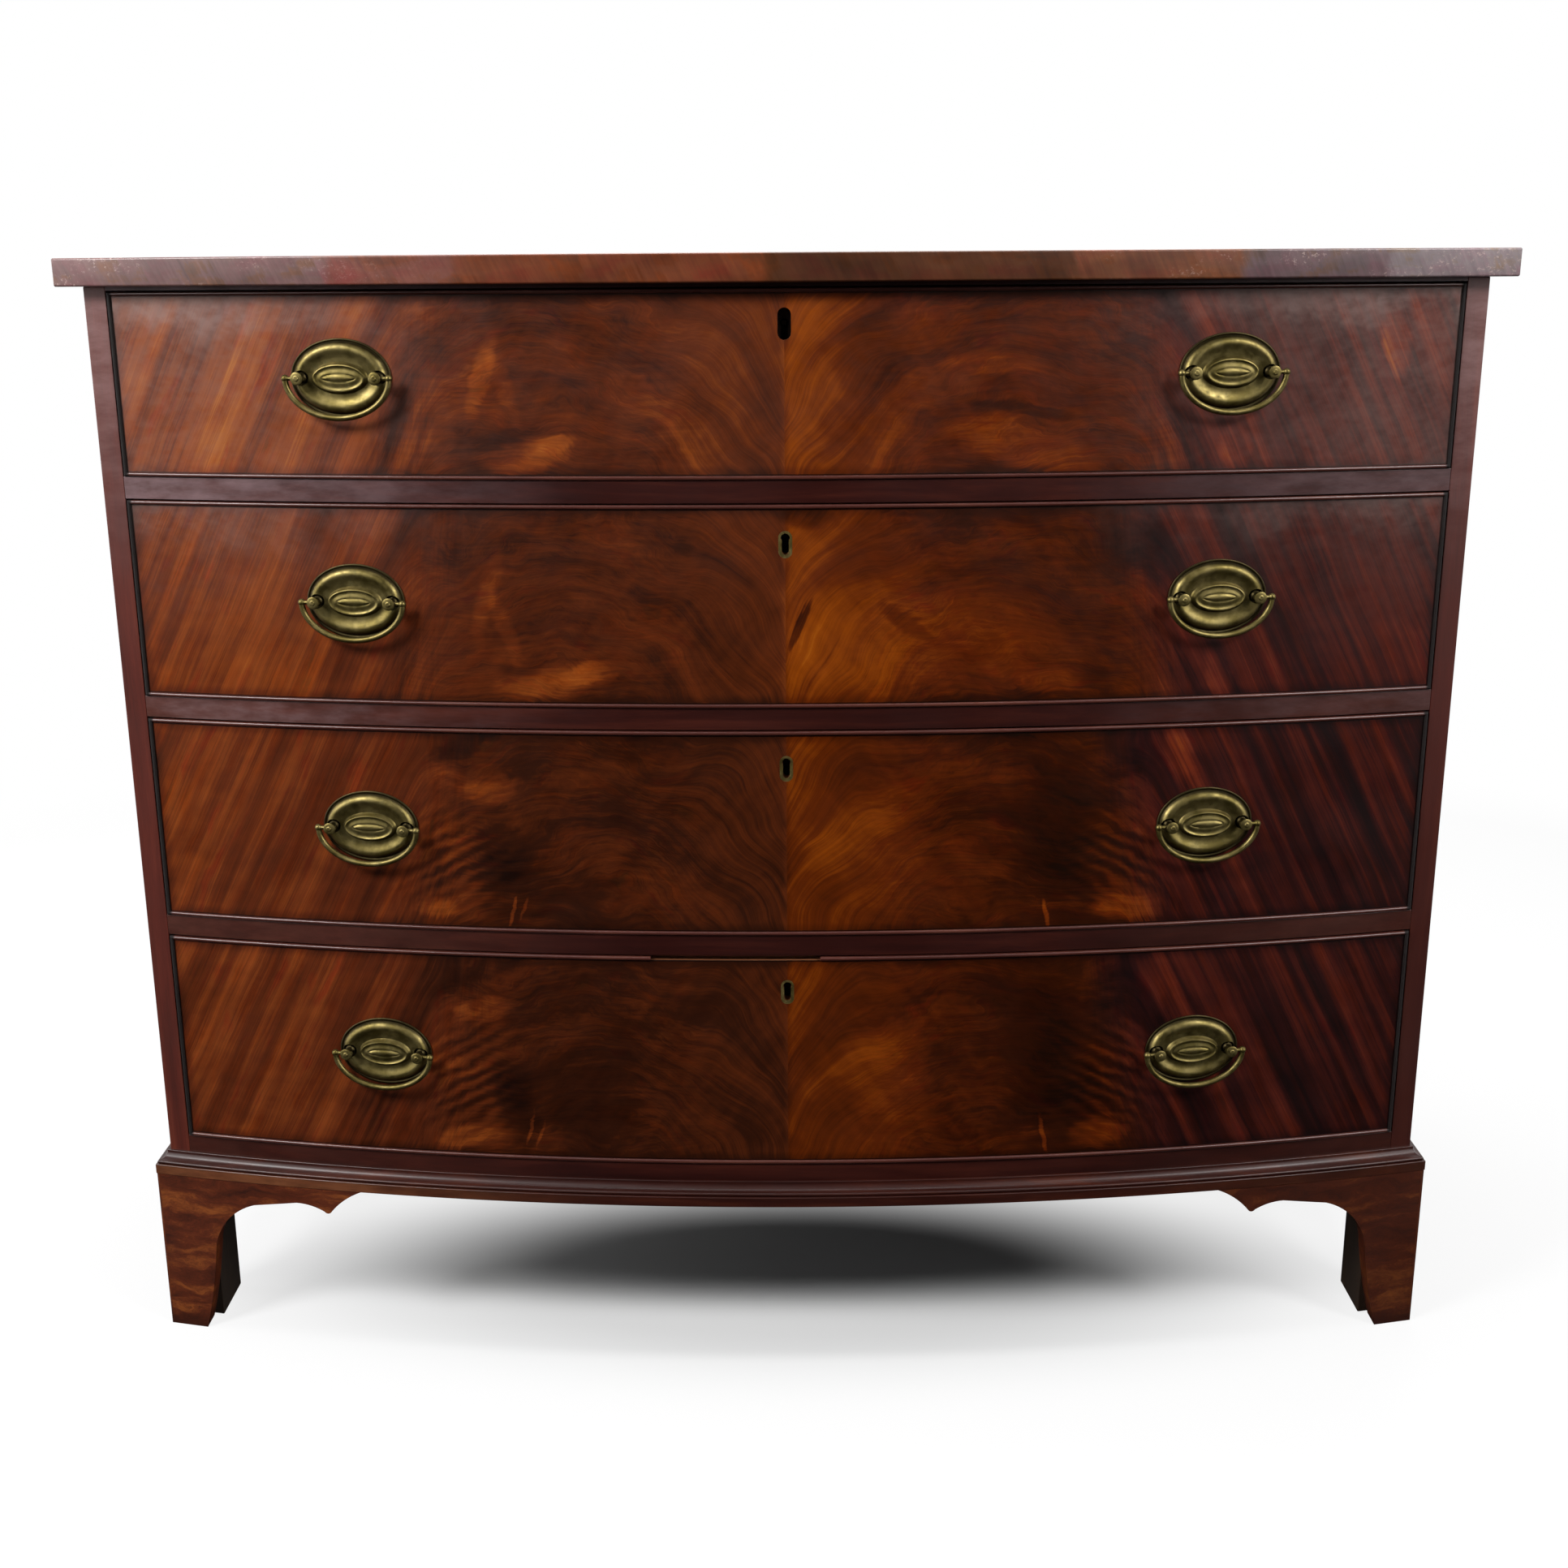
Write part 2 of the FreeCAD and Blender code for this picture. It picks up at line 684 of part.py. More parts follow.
def housed_board(z0, z1, rear_y):
    """A bow-fronted board across the case, with its ends in the sides behind their front edges."""
    board = bow_board(-half_inside, half_inside, 0, rear_y, z0, z1)
    tongue = box(half_inside, half_housed, corner_y + housing_stop, rear_y, z0, z1)
    return joined(board, *both_sides(tongue))


def dust_board(z):
    low = z + (rail_thick - dust_thick) / 2
    half = half_inside - runner_width + dust_tongue
    return box(-half, half, rail_rear_y - dust_tongue, inner_back_y, low, low + dust_thick)


def bolt_mortise(z):
    """The slot over a drawer, whose ceiling is at z, that takes its bolt."""
    return bolt_room(z - drawer_top_gap, z + drawer_top_gap + bolt_throw, mortise_slack)


def make_rails():
    for number, z in enumerate(rail_z[:-1], start=1):
        rail = housed_board(z, z + rail_thick, rail_rear_y)
        save(f"drawer_rail_{number}", rail.cut([bolt_mortise(z), dust_board(z)]))
    save("bottom_rail", housed_board(rail_z[-1], rail_z[-1] + rail_thick, rail_rear_y))
    save("dust_boards", *[dust_board(z) for z in rail_z[:-1]])

    runners = []
    for z in rail_z:
        inner = half_inside - runner_width
        runner = box(inner, half_housed, rail_rear_y, inner_back_y, z, z + rail_thick)
        if z != rail_z[-1]:
            runner = runner.cut(dust_board(z))
        runners += both_sides(runner)
    save("drawer_runners", *runners)


def make_stops():
    """Small blocks on the rails that the drawer fronts close against."""
    angle = math.asin(stop_spread / bow_radius)
    clear = front_thick + stop_length ** 2 / (8 * (bow_radius - front_thick)) + drawer_run_gap
    stop = box(-stop_length / 2, stop_length / 2, clear, clear + stop_depth, 0, stop_height)
    stop.rotate(Vec(0, 0, 0), Vec(0, 0, 1), math.degrees(angle))
    stop.translate(Vec(stop_spread, bow_y(stop_spread), rail_thick))
    stops = []
    for z in rail_z:
        stops += both_sides(raised(stop, z))
    save("drawer_stops", *stops)


def make_sides():
    side = bow_board(half_inside, half_case, 0, back_y, foot_height, top_z)
    housings = [(foot_height, lowest_rail_z), (frame_z, top_z)] + [(z, z + rail_thick) for z in rail_z]
    stop_y = corner_y + housing_stop
    cuts = [box(half_inside, half_housed, stop_y, inner_back_y, z0, z1) for z0, z1 in housings]
    cuts.append(box(half_inside, half_inside + back_rebate, inner_back_y, back_y, foot_height, top_z))
    right = side.cut(cuts)
    save("side_right", right)
    save("side_left", mirrored(right))


def make_back():
    half = half_inside + back_rebate
    pitch = (top_z - foot_height + back_board_gap) / back_board_count
    boards = []
    for n in range(back_board_count):
        low = foot_height + n * pitch
        boards.append(box(-half, half, inner_back_y, back_y, low, low + pitch - back_board_gap))
    save("back_boards", *boards)


def top_screws(slack):
    """The screws that hold the top down through its frame, or their holes."""
    end_x = half_inside - top_screw_inset
    places = [(x, (bow_y(x) + rail_rear_y) / 2) for x in (-end_x, -end_x / 2, end_x / 2, end_x)]
    places += [(x, inner_back_y - top_frame_width / 2) for x in (-end_x, 0, end_x)]
    screws = []
    for x, y in places:
        start = Vec(x, y, frame_z)
        end = start + Vec(0, 0, top_frame_thick + top_screw_grip)
        radii = (top_screw_radius + slack, top_screw_head_radius + slack)
        screws.append(countersunk(*radii, top_screw_head_depth, start, end))
    return screws


def make_top():
    rear_y = back_y + top_rear_overhang
    board = bow_board(-half_top, half_top, top_front_overhang, rear_y, top_z, overall_height)
    on_rear = [edge for edge in board.Edges if edge.BoundBox.YMin > rear_y - 1]
    rounded = [edge for edge in board.Edges if not any(edge.isSame(other) for other in on_rear)]
    holes = top_screws(screw_slack) + [bolt_mortise(frame_z)]
    save("top_board", board.makeFillet(top_edge_round, rounded).cut(holes))

    kicker_end = inner_back_y - top_frame_width
    front_rail = housed_board(frame_z, top_z, rail_rear_y)
    rear_rail = box(-half_housed, half_housed, kicker_end, inner_back_y, frame_z, top_z)
    kicker = box(half_inside - runner_width, half_housed, rail_rear_y, kicker_end, frame_z, top_z)
    save("top_frame", front_rail.cut(holes), rear_rail.cut(holes), *both_sides(kicker))
    save("top_screws", *top_screws(0.0))


# Foot moulding and bracket feet

def beyond_mitre():
    """Everything on the side's part of the mitre at the right front corner."""
    angle = math.asin(half_case / bow_radius)
    mitre = Vec(1 + math.sin(angle), -math.cos(angle), 0).normalize()
    corner = Vec(half_case, corner_y, 0)
    inside = corner - mitre * (2 * bracket_thick)
    outside = corner + mitre * (2 * bracket_thick)
    outline = [inside, outside, Vec(outside.x, 2 * back_y, 0), Vec(inside.x, 2 * back_y, 0)]
    return polygon_prism(outline, Vec(0, 0, overall_height))


def moulding_section(place):
    """The moulding's section: lip, cove, bead and fascia, by how far out and how high each corner is."""
    high = foot_height + moulding_height
    cove_high = high - moulding_lip_height
    cove_low = cove_high - moulding_cove_drop
    bead_low = cove_low - moulding_bead_height
    bead_middle = (cove_low + bead_low) / 2
    bead_out = moulding_cove_out + moulding_bead_swell
    corners = [(0, foot_height), (0, high), (moulding_lip_out, high), (moulding_lip_out, cove_high)]
    corners += quarter_curve(moulding_lip_out, cove_high, moulding_cove_out, cove_low, True)
    corners += quarter_curve(moulding_cove_out, cove_low, bead_out, bead_middle, False)
    corners += quarter_curve(bead_out, bead_middle, moulding_cove_out, bead_low, True)
    corners += [(moulding_out, bead_low), (moulding_out, foot_height)]
    points = [place(out, z) for out, z in corners]
    return Part.Face(Part.makePolygon(points + points[:1]))


def make_moulding():
    wedge = beyond_mitre()
    reach = math.degrees(math.asin((half_case + moulding_out) / bow_radius))
    section = moulding_section(lambda out, z: Vec(0, front_y - out, z))
    half = section.revolve(Vec(0, bow_centre_y, 0), Vec(0, 0, 1), reach).cut(wedge)
    front = half.fuse(mirrored(half))

    start_y = corner_y - 2 * moulding_out
    section = moulding_section(lambda out, z: Vec(half_case + out, start_y, z))
    side = section.extrude(Vec(0, back_y - start_y, 0)).common(wedge)
    save("base_moulding", front, *both_sides(side))


def bracket_outline(wing, place):
    """The shaped inner edge of a bracket: leg, arch, a small spur, and a cove up to the case."""
    short = bracket_wing - wing
    shoulder_z = foot_height - bracket_shoulder_drop
    corners = [
        (0, 0, 0),
        (bracket_foot, 0, 0),
        (bracket_knee, foot_height - bracket_knee_drop, bracket_shin_bulge),
        (bracket_shoulder, shoulder_z, -bracket_arch_bulge),
        (bracket_crest - short / 2, shoulder_z + bracket_crest_rise, 0),
        (bracket_spur - short, shoulder_z, -bracket_spur_bulge),
        (bracket_spur - short + bracket_spur_width, shoulder_z, bracket_spur_bulge),
        (wing, foot_height, -bracket_cove_bulge),
        (0, foot_height, 0),
    ]
    return curved_outline(corners, place)


def make_feet():
    wedge = beyond_mitre()
    outer_x = half_case + bracket_out
    inner_out = bracket_out - bracket_thick
    inner_x = half_case + inner_out

    # The front bracket follows the bow, and meets the straight side bracket in a mitre
    outline = bracket_outline(bracket_wing, lambda along, z: Vec(outer_x - along, 2 * front_y, z))
    band = bow_band(half_inside - bracket_wing, outer_x, bracket_out, inner_out, 0, foot_height)
    front = band.common(extruded(outline, Vec(0, -2 * front_y, 0))).cut(wedge)
    corner = bow_y(outer_x, bracket_out)
    outline = bracket_outline(side_bracket_wing, lambda along, z: Vec(inner_x, corner + along, z))
    side = extruded(outline, Vec(bracket_thick, 0, 0)).common(wedge)
    save("foot_front_right", front, side)
    save("foot_front_left", mirrored(front), mirrored(side))

    # The rear foot has the same side bracket turned about, and a plain sloping one behind
    outline = bracket_outline(side_bracket_wing, lambda along, z: Vec(inner_x, back_y - along, z))
    side = extruded(outline, Vec(bracket_thick, 0, 0))
    slope = [(0, 0), (0, foot_height), (rear_bracket_wing, foot_height), (rear_bracket_foot, 0)]
    points = [Vec(inner_x - along, back_y, z) for along, z in slope]
    rear = polygon_prism(points, Vec(0, -rear_bracket_thick, 0))
    save("foot_back_right", side, rear)
    save("foot_back_left", mirrored(side), mirrored(rear))

    # Upright blocks fill each foot's inner corner; short ones tie the wings to the case bottom
    x = inner_x - block_width
    tie_z = foot_height - tie_block_height
    block_end = bow_y(inner_x, inner_out) + block_depth
    rear_y = back_y - rear_bracket_thick
    rear_end = rear_y - block_depth
    tie_end = bow_y(x, inner_out) + tie_block
    tie_x = inner_x - tie_block
    blocks = [
        bow_board(x, inner_x, inner_out, block_end, block_lift, foot_height),
        box(x, inner_x, rear_end, rear_y, block_lift, foot_height),
        bow_board(x - tie_block_length, x, inner_out, tie_end, tie_z, foot_height),
        box(tie_x, inner_x, block_end, block_end + tie_block_length, tie_z, foot_height),
        box(tie_x, inner_x, rear_end - tie_block_length, rear_end, tie_z, foot_height),
    ]
    save("glue_blocks", *[piece for block in blocks for piece in both_sides(block)])


make_top()
make_sides()
save("case_bottom", housed_board(foot_height, lowest_rail_z, inner_back_y))
make_rails()
make_stops()
make_back()
make_moulding()
make_feet()
for number, (z, opening) in enumerate(zip(rail_z, opening_heights), start=1):
    make_drawer(number, z + rail_thick, opening)
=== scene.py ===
import math
from functools import partial

import bmesh
import bpy
from mathutils import Matrix, Vector


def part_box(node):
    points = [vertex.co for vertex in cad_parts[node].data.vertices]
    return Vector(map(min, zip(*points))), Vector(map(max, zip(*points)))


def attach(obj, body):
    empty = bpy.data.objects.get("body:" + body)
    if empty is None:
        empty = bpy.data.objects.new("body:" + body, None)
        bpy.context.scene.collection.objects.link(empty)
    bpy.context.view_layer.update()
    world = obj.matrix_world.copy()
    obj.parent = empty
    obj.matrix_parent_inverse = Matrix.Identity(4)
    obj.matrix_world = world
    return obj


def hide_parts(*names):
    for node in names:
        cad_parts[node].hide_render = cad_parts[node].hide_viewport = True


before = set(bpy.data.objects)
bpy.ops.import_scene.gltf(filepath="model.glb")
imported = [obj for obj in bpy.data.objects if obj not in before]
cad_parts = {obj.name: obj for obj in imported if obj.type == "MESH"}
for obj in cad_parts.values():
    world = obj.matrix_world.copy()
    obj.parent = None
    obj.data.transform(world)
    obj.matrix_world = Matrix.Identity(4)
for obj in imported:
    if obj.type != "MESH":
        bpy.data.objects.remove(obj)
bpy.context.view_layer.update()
print("frame loaded:", len(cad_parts), "nodes")

# Everything below is in millimetres until it becomes a mesh or a light
mm = 0.001
bow = {"radius": 2326.875, "centreY": 2073.375}     # the curve of the front, seen from above
bowMiddle = bow["centreY"] - bow["radius"]
drawerNumbers = (1, 2, 3, 4)
sides = {"left": -1.0, "right": 1.0}


class Wire:
    # A node socket that adds Math nodes when it is used in an expression
    def __init__(self, socket):
        self.socket = socket

    def __add__(self, other):
        return mathNode("ADD", self, other)

    __radd__ = __add__

    def __sub__(self, other):
        return mathNode("SUBTRACT", self, other)

    def __rsub__(self, other):
        return mathNode("SUBTRACT", other, self)

    def __mul__(self, other):
        return mathNode("MULTIPLY", self, other)

    __rmul__ = __mul__

    def __truediv__(self, other):
        return mathNode("DIVIDE", self, other)

    def __pow__(self, other):
        return mathNode("POWER", self, other)

    def __neg__(self):
        return mathNode("MULTIPLY", self, -1)

    def __abs__(self):
        return mathNode("ABSOLUTE", self)


def mathNode(operation, *values):
    tree = next(value.socket.id_data for value in values if isinstance(value, Wire))
    node = tree.nodes.new("ShaderNodeMath")
    node.operation = operation
    for socket, value in zip(node.inputs, values):
        feed(socket, value)
    return Wire(node.outputs[0])


def feed(socket, value):
    if isinstance(value, Wire):
        socket.id_data.links.new(value.socket, socket)
    else:
        socket.default_value = value


sine, cosine, root, exponent, highest, lowest = (
    partial(mathNode, name) for name in ("SINE", "COSINE", "SQRT", "EXPONENT", "MAXIMUM", "MINIMUM"))


def paint(colour):
    # Makes a colour that is written as on a paint card linear, and leaves any other as it is
    if not isinstance(colour, str):
        return colour
    parts = [int(colour[n:n + 2], 16) / 255 for n in (0, 2, 4)]
    return tuple(p / 12.92 if p <= 0.04045 else ((p + 0.055) / 1.055) ** 2.4 for p in parts) + (1.0,)


class Bench:
    # Builds one node tree
    def __init__(self, tree):
        self.tree = tree

    def add(self, kind, settings, sockets, out=0):
        node = self.tree.nodes.new(kind)
        for name, value in settings.items():
            if name == "stops":
                setStops(node.color_ramp, *value)
            else:
                setattr(node, name, value)
        for name, value in sockets.items():
            feed(node.inputs[name], value)
        if isinstance(out, tuple):
            return tuple(Wire(node.outputs[name]) for name in out)
        return Wire(node.outputs[out])

    def form(self, kind, sockets, settings={}, out=0):
        return self.add("GeometryNode" + kind, settings, sockets, out)

    def vector(self, x, y, z):
        return self.add("ShaderNodeCombineXYZ", {}, {"X": x, "Y": y, "Z": z})

    def spot(self, x, y, z):
        return self.vector(x * mm, y * mm, z * mm)

    def split(self, vector):
        return self.add("ShaderNodeSeparateXYZ", {}, {"Vector": vector}, ("X", "Y", "Z"))

    def place(self):
        # Where a point of the piece is, in millimetres
        spot = self.add("ShaderNodeTexCoord", {}, {}, "Object")
        return [part * 1000 for part in self.split(spot)]

    def cloud(self, x, y, z, detail=2.0, roughness=0.5):
        sockets = {"Vector": self.vector(x, y, z), "Scale": 1.0, "Detail": detail, "Roughness": roughness}
        return self.add("ShaderNodeTexNoise", {}, sockets, "Fac")

    def stretch(self, value, low, high, start=0.0, end=1.0, kind="LINEAR"):
        sockets = {"Value": value, "From Min": low, "From Max": high, "To Min": start, "To Max": end}
        return self.add("ShaderNodeMapRange", {"interpolation_type": kind}, sockets, "Result")

    def ease(self, value, low, high):
        return self.stretch(value, low, high, kind="SMOOTHSTEP")

    def ramp(self, value, stops, interpolation="LINEAR"):
        return self.add("ShaderNodeValToRGB", {"stops": (interpolation, stops)}, {"Fac": value}, "Color")

    def grain(self, tone, colours):
        return self.ramp(tone, list(zip((0.1, 0.5, 0.9), colours)))

    def level(self, value, stops):
        # A plain number that follows a few (place, height) stops
        low, high = stops[0][0], stops[-1][0]
        shares = [((at - low) / (high - low), (height,) * 3 + (1.0,)) for at, height in stops]
        colour = self.ramp(self.stretch(value, low, high), shares, "EASE")
        return self.add("ShaderNodeSeparateColor", {}, {"Color": colour}, "Red")

    def blend(self, share, first, second, kind="MIX"):
        settings = {"data_type": "RGBA", "blend_type": kind}
        return self.add("ShaderNodeMix", settings, {0: share, 6: paint(first), 7: paint(second)}, 2)


def setStops(ramp, interpolation, stops):
    ramp.interpolation = interpolation
    while len(ramp.elements) < len(stops):
        ramp.elements.new(0.5)
    for element, stop in zip(ramp.elements, stops):
        element.position = stop[0]
    for element, stop in zip(ramp.elements, stops):
        element.color = paint(stop[1])


def geometryBench(name, sizes):
    tree = bpy.data.node_groups.new(name, "GeometryNodeTree")
    tree.interface.new_socket("Geometry", in_out="INPUT", socket_type="NodeSocketGeometry")
    for label, value in sizes.items():
        kind = "NodeSocketInt" if isinstance(value, int) else "NodeSocketFloat"
        tree.interface.new_socket(label, in_out="INPUT", socket_type=kind).default_value = value
    tree.interface.new_socket("Finish", in_out="INPUT", socket_type="NodeSocketMaterial")
    tree.interface.new_socket("Geometry", in_out="OUTPUT", socket_type="NodeSocketGeometry")
    inputs = tree.nodes.new("NodeGroupInput").outputs
    return Bench(tree), {socket.name: Wire(socket) for socket in inputs if socket.name}


def closeTree(bench, geometry, inputs):
    real = bench.form("RealizeInstances", {"Geometry": geometry})
    painted = bench.form("SetMaterial", {"Geometry": real, "Material": inputs["Finish"]})
    feed(bench.tree.nodes.new("NodeGroupOutput").inputs[0], painted)
    return bench.tree


def swept(bench, profile, count):
    # The profile drawn out along X from 0 to 1; gives the mesh, and how far along, first and second
    line = bench.form("CurvePrimitiveLine", {"Start": (0, 0, 0), "End": (1, 0, 0)})
    path = bench.form("ResampleCurve", {"Curve": line, "Count": count})
    section = bench.form("MeshToCurve", {"Mesh": profile})
    mesh = bench.form("CurveToMesh", {"Curve": path, "Profile Curve": section, "Fill Caps": True})
    along, first, second = bench.split(bench.form("InputPosition", {}))
    return mesh, along, -first, -second


def moved(bench, geometry, x, y, z):
    return bench.form("SetPosition", {"Geometry": geometry, "Position": bench.spot(x, y, z)})


def joinedUp(bench, parts):
    node = bench.tree.nodes.new("GeometryNodeJoinGeometry")
    for part in reversed(parts):
        feed(node.inputs[0], part)
    return Wire(node.outputs[0])


def hull(bench, parts):
    return bench.form("ConvexHull", {"Geometry": joinedUp(bench, parts)})


def put(bench, piece, place, turn=(0, 0, 0)):
    return bench.form("Transform", {"Geometry": piece, "Translation": bench.spot(*place), "Rotation": turn})


def rod(bench, count, radius, length, place, turn=(math.pi / 2, 0, 0)):
    # A round bar that points to the front, unless it is turned another way
    sockets = {"Vertices": count, "Radius": radius * mm, "Depth": length * mm}
    return put(bench, bench.form("MeshCylinder", sockets), place, turn)


def drilled(bench, mesh, drill):
    settings = {"operation": "DIFFERENCE", "solver": "EXACT"}
    return bench.form("MeshBoolean", {"Mesh 1": mesh, "Mesh 2": drill}, settings)


def softened(bench, geometry, angle=0.6):
    # Smooth shading, with edges sharper than the angle kept crisp
    smooth = bench.form("SetShadeSmooth", {"Geometry": geometry, "Shade Smooth": True}, {"domain": "FACE"})
    bend = bench.form("InputMeshEdgeAngle", {})
    sharp = bench.add("FunctionNodeCompare", {"operation": "GREATER_THAN"}, {0: bend, 1: angle})
    sockets = {"Geometry": smooth, "Selection": sharp, "Shade Smooth": False}
    return bench.form("SetShadeSmooth", sockets, {"domain": "EDGE"})


def bowY(x, out):
    # Y of the bowed face, for numbers and for wires
    reach = (out + bow["radius"]) * (out + bow["radius"]) - x * x
    return bow["centreY"] - (root(reach) if isinstance(reach, Wire) else math.sqrt(reach))


def onBow(bench, piece, side, inputs):
    # Puts a piece that is drawn flat, face towards -Y, on the bow at the left (-1) or right (1)
    angle = side * inputs["Spread"] / bow["radius"]
    x = sine(angle) * bow["radius"]
    y = bow["centreY"] - cosine(angle) * bow["radius"]
    turn = bench.add("FunctionNodeEulerToRotation", {}, {"Euler": bench.vector(0, 0, angle)})
    return put(bench, piece, (x, y, inputs["Height"]), turn)


def placed(name, data):
    piece = bpy.data.objects.new(name, data)
    bpy.context.scene.collection.objects.link(piece)
    return piece


def keepShape(piece, modifier):
    # Turns what the modifier makes into the piece's own plain mesh
    evaluated = piece.evaluated_get(bpy.context.evaluated_depsgraph_get())
    piece.data = bpy.data.meshes.new_from_object(evaluated)
    piece.modifiers.remove(modifier)


def grow(name, tree, points, sizes, finish, body, slotName, node, closed=True):
    # Runs a tree on an outline
    count = len(points)
    edges = [(n, (n + 1) % count) for n in range(count if closed else count - 1)]
    start = bpy.data.meshes.new(name + "_outline")
    start.from_pydata([tuple(point) + (0,) * (3 - len(point)) for point in points], edges, [])
    piece = placed(name, start)
    modifier = piece.modifiers.new("Shape", "NODES")
    modifier.node_group = tree
    values = {**sizes, "Finish": finishes[finish]}
    for item in tree.interface.items_tree:
        if item.in_out == "INPUT" and item.name in values:
            modifier[item.identifier] = values[item.name]
    keepShape(piece, modifier)
    work = bmesh.new()
    work.from_mesh(piece.data)
    bmesh.ops.remove_doubles(work, verts=work.verts, dist=1e-6)
    bmesh.ops.recalc_face_normals(work, faces=work.faces)
    work.to_mesh(piece.data)
    work.free()
    settle(piece, body, slotName, node)


def settle(piece, body, slotName, node):
    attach(piece, body)
    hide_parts(node)


def newFinish(name, specular, coat=0.0, coatRoughness=0.03, metallic=0.0):
    material = bpy.data.materials.new(name)
    material.use_nodes = True
    shader = material.node_tree.nodes["Principled BSDF"]
    shader.inputs["Specular IOR Level"].default_value = specular
    shader.inputs["Coat Weight"].default_value = coat
    shader.inputs["Coat Roughness"].default_value = coatRoughness
    shader.inputs["Metallic"].default_value = metallic
    return material, Bench(material.node_tree), shader


def dress(bench, shader, colour, roughness, bump, depth):
    feed(shader.inputs["Base Color"], colour)
    feed(shader.inputs["Roughness"], roughness)
    sockets = {"Height": bump, "Strength": 1.0, "Distance": depth * mm}
    feed(shader.inputs["Normal"], bench.add("ShaderNodeBump", {}, sockets))


# Flame mahogany veneer: a book-matched pair of leaves on each drawer front. Places are measured from the
# seam and from the foot of the drawer front
veneerLook = {
    "coat": 0.05, "coatRoughness": 0.32, "specular": 0.12, "roughness": (0.32, 0.44), "bump": 0.03,
    "halfWidth": 503.0, "beads": 3.0,
    "paintedLight": 0.6, "paintedLightColour": "8a746e", "paintedLightLow": 560.0, "paintedLightHigh": 850.0,      # painted sheen at the ends of the upper drawers
    "tints": [(0.3, "ffc4cc"), (0.42, "ffffff"), (0.55, "fff4e6"), (0.64, "ffe0a8"), (0.74, "c8dcd4")],
    "featherSlope": 2.2, "featherReach": 62.0, "featherStart": 110.0, "featherFull": 30.0,
    "ribbonSlope": 3.9, "ribbonStart": 292.0, "ribbonBlend": 15.0, "ribbonLean": 0.25,
    "browns": [(0.0, "140603"), (0.25, "2e1206"), (0.5, "57250c"), (0.75, "844215"), (1.0, "ac6a2a")],
    "golds": [(0.0, "130500"), (0.25, "300f00"), (0.5, "592100"), (0.75, "853d02"), (1.0, "b26614")],
    "reds": [(0.0, "120606"), (0.25, "280d0b"), (0.5, "491a11"), (0.75, "6a2c1b"), (1.0, "925022")],
}
# Streaks and clouds: size across and along the grain, change at the seam, seed, detail, roughness
veneerFigure = {
    "drift": (95, 75, 0.25, 0, 1.5, 0.5), "shake": (30, 18, 0.5, 5, 3, 0.5),
    "broad": (19, 260, 0.3, 1, 2, 0.5), "stripe": (5.0, 170, 0.3, 2, 2, 0.55),
    "thread": (1.1, 50, 0, 3, 3, 0.65), "smoke": (50, 34, 2, 9, 5, 0.65), "mottle": (34, 14, 0, 11, 2, 0.5),
}
# Lightness from the left end to the right end; the lower drawers are set darker, partly their own tone and
# partly painted shade towards the floor
tonePlaces = [-505, -400, -330, -250, -190, -120, -50, -4, 4, 60, 130, 220, 300, 400, 505]
lowTonePlaces = tonePlaces[:10] + [140] + tonePlaces[11:]       # of the two lower drawers
veneerTones = {
    1: [0.68, 0.68, 0.54, 0.46, 0.38, 0.38, 0.42, 0.42, 0.62, 0.5, 0.34, 0.34, 0.42, 0.44, 0.52],
    2: [0.56, 0.66, 0.48, 0.4, 0.34, 0.34, 0.38, 0.4, 0.6, 0.44, 0.3, 0.3, 0.4, 0.38, 0.36],
    3: [0.58, 0.56, 0.44, 0.42, 0.32, 0.3, 0.3, 0.34, 0.52, 0.4, 0.32, 0.24, 0.34, 0.26, 0.22],
    4: [0.54, 0.54, 0.4, 0.38, 0.28, 0.28, 0.3, 0.32, 0.48, 0.42, 0.32, 0.2, 0.3, 0.26, 0.24],
}
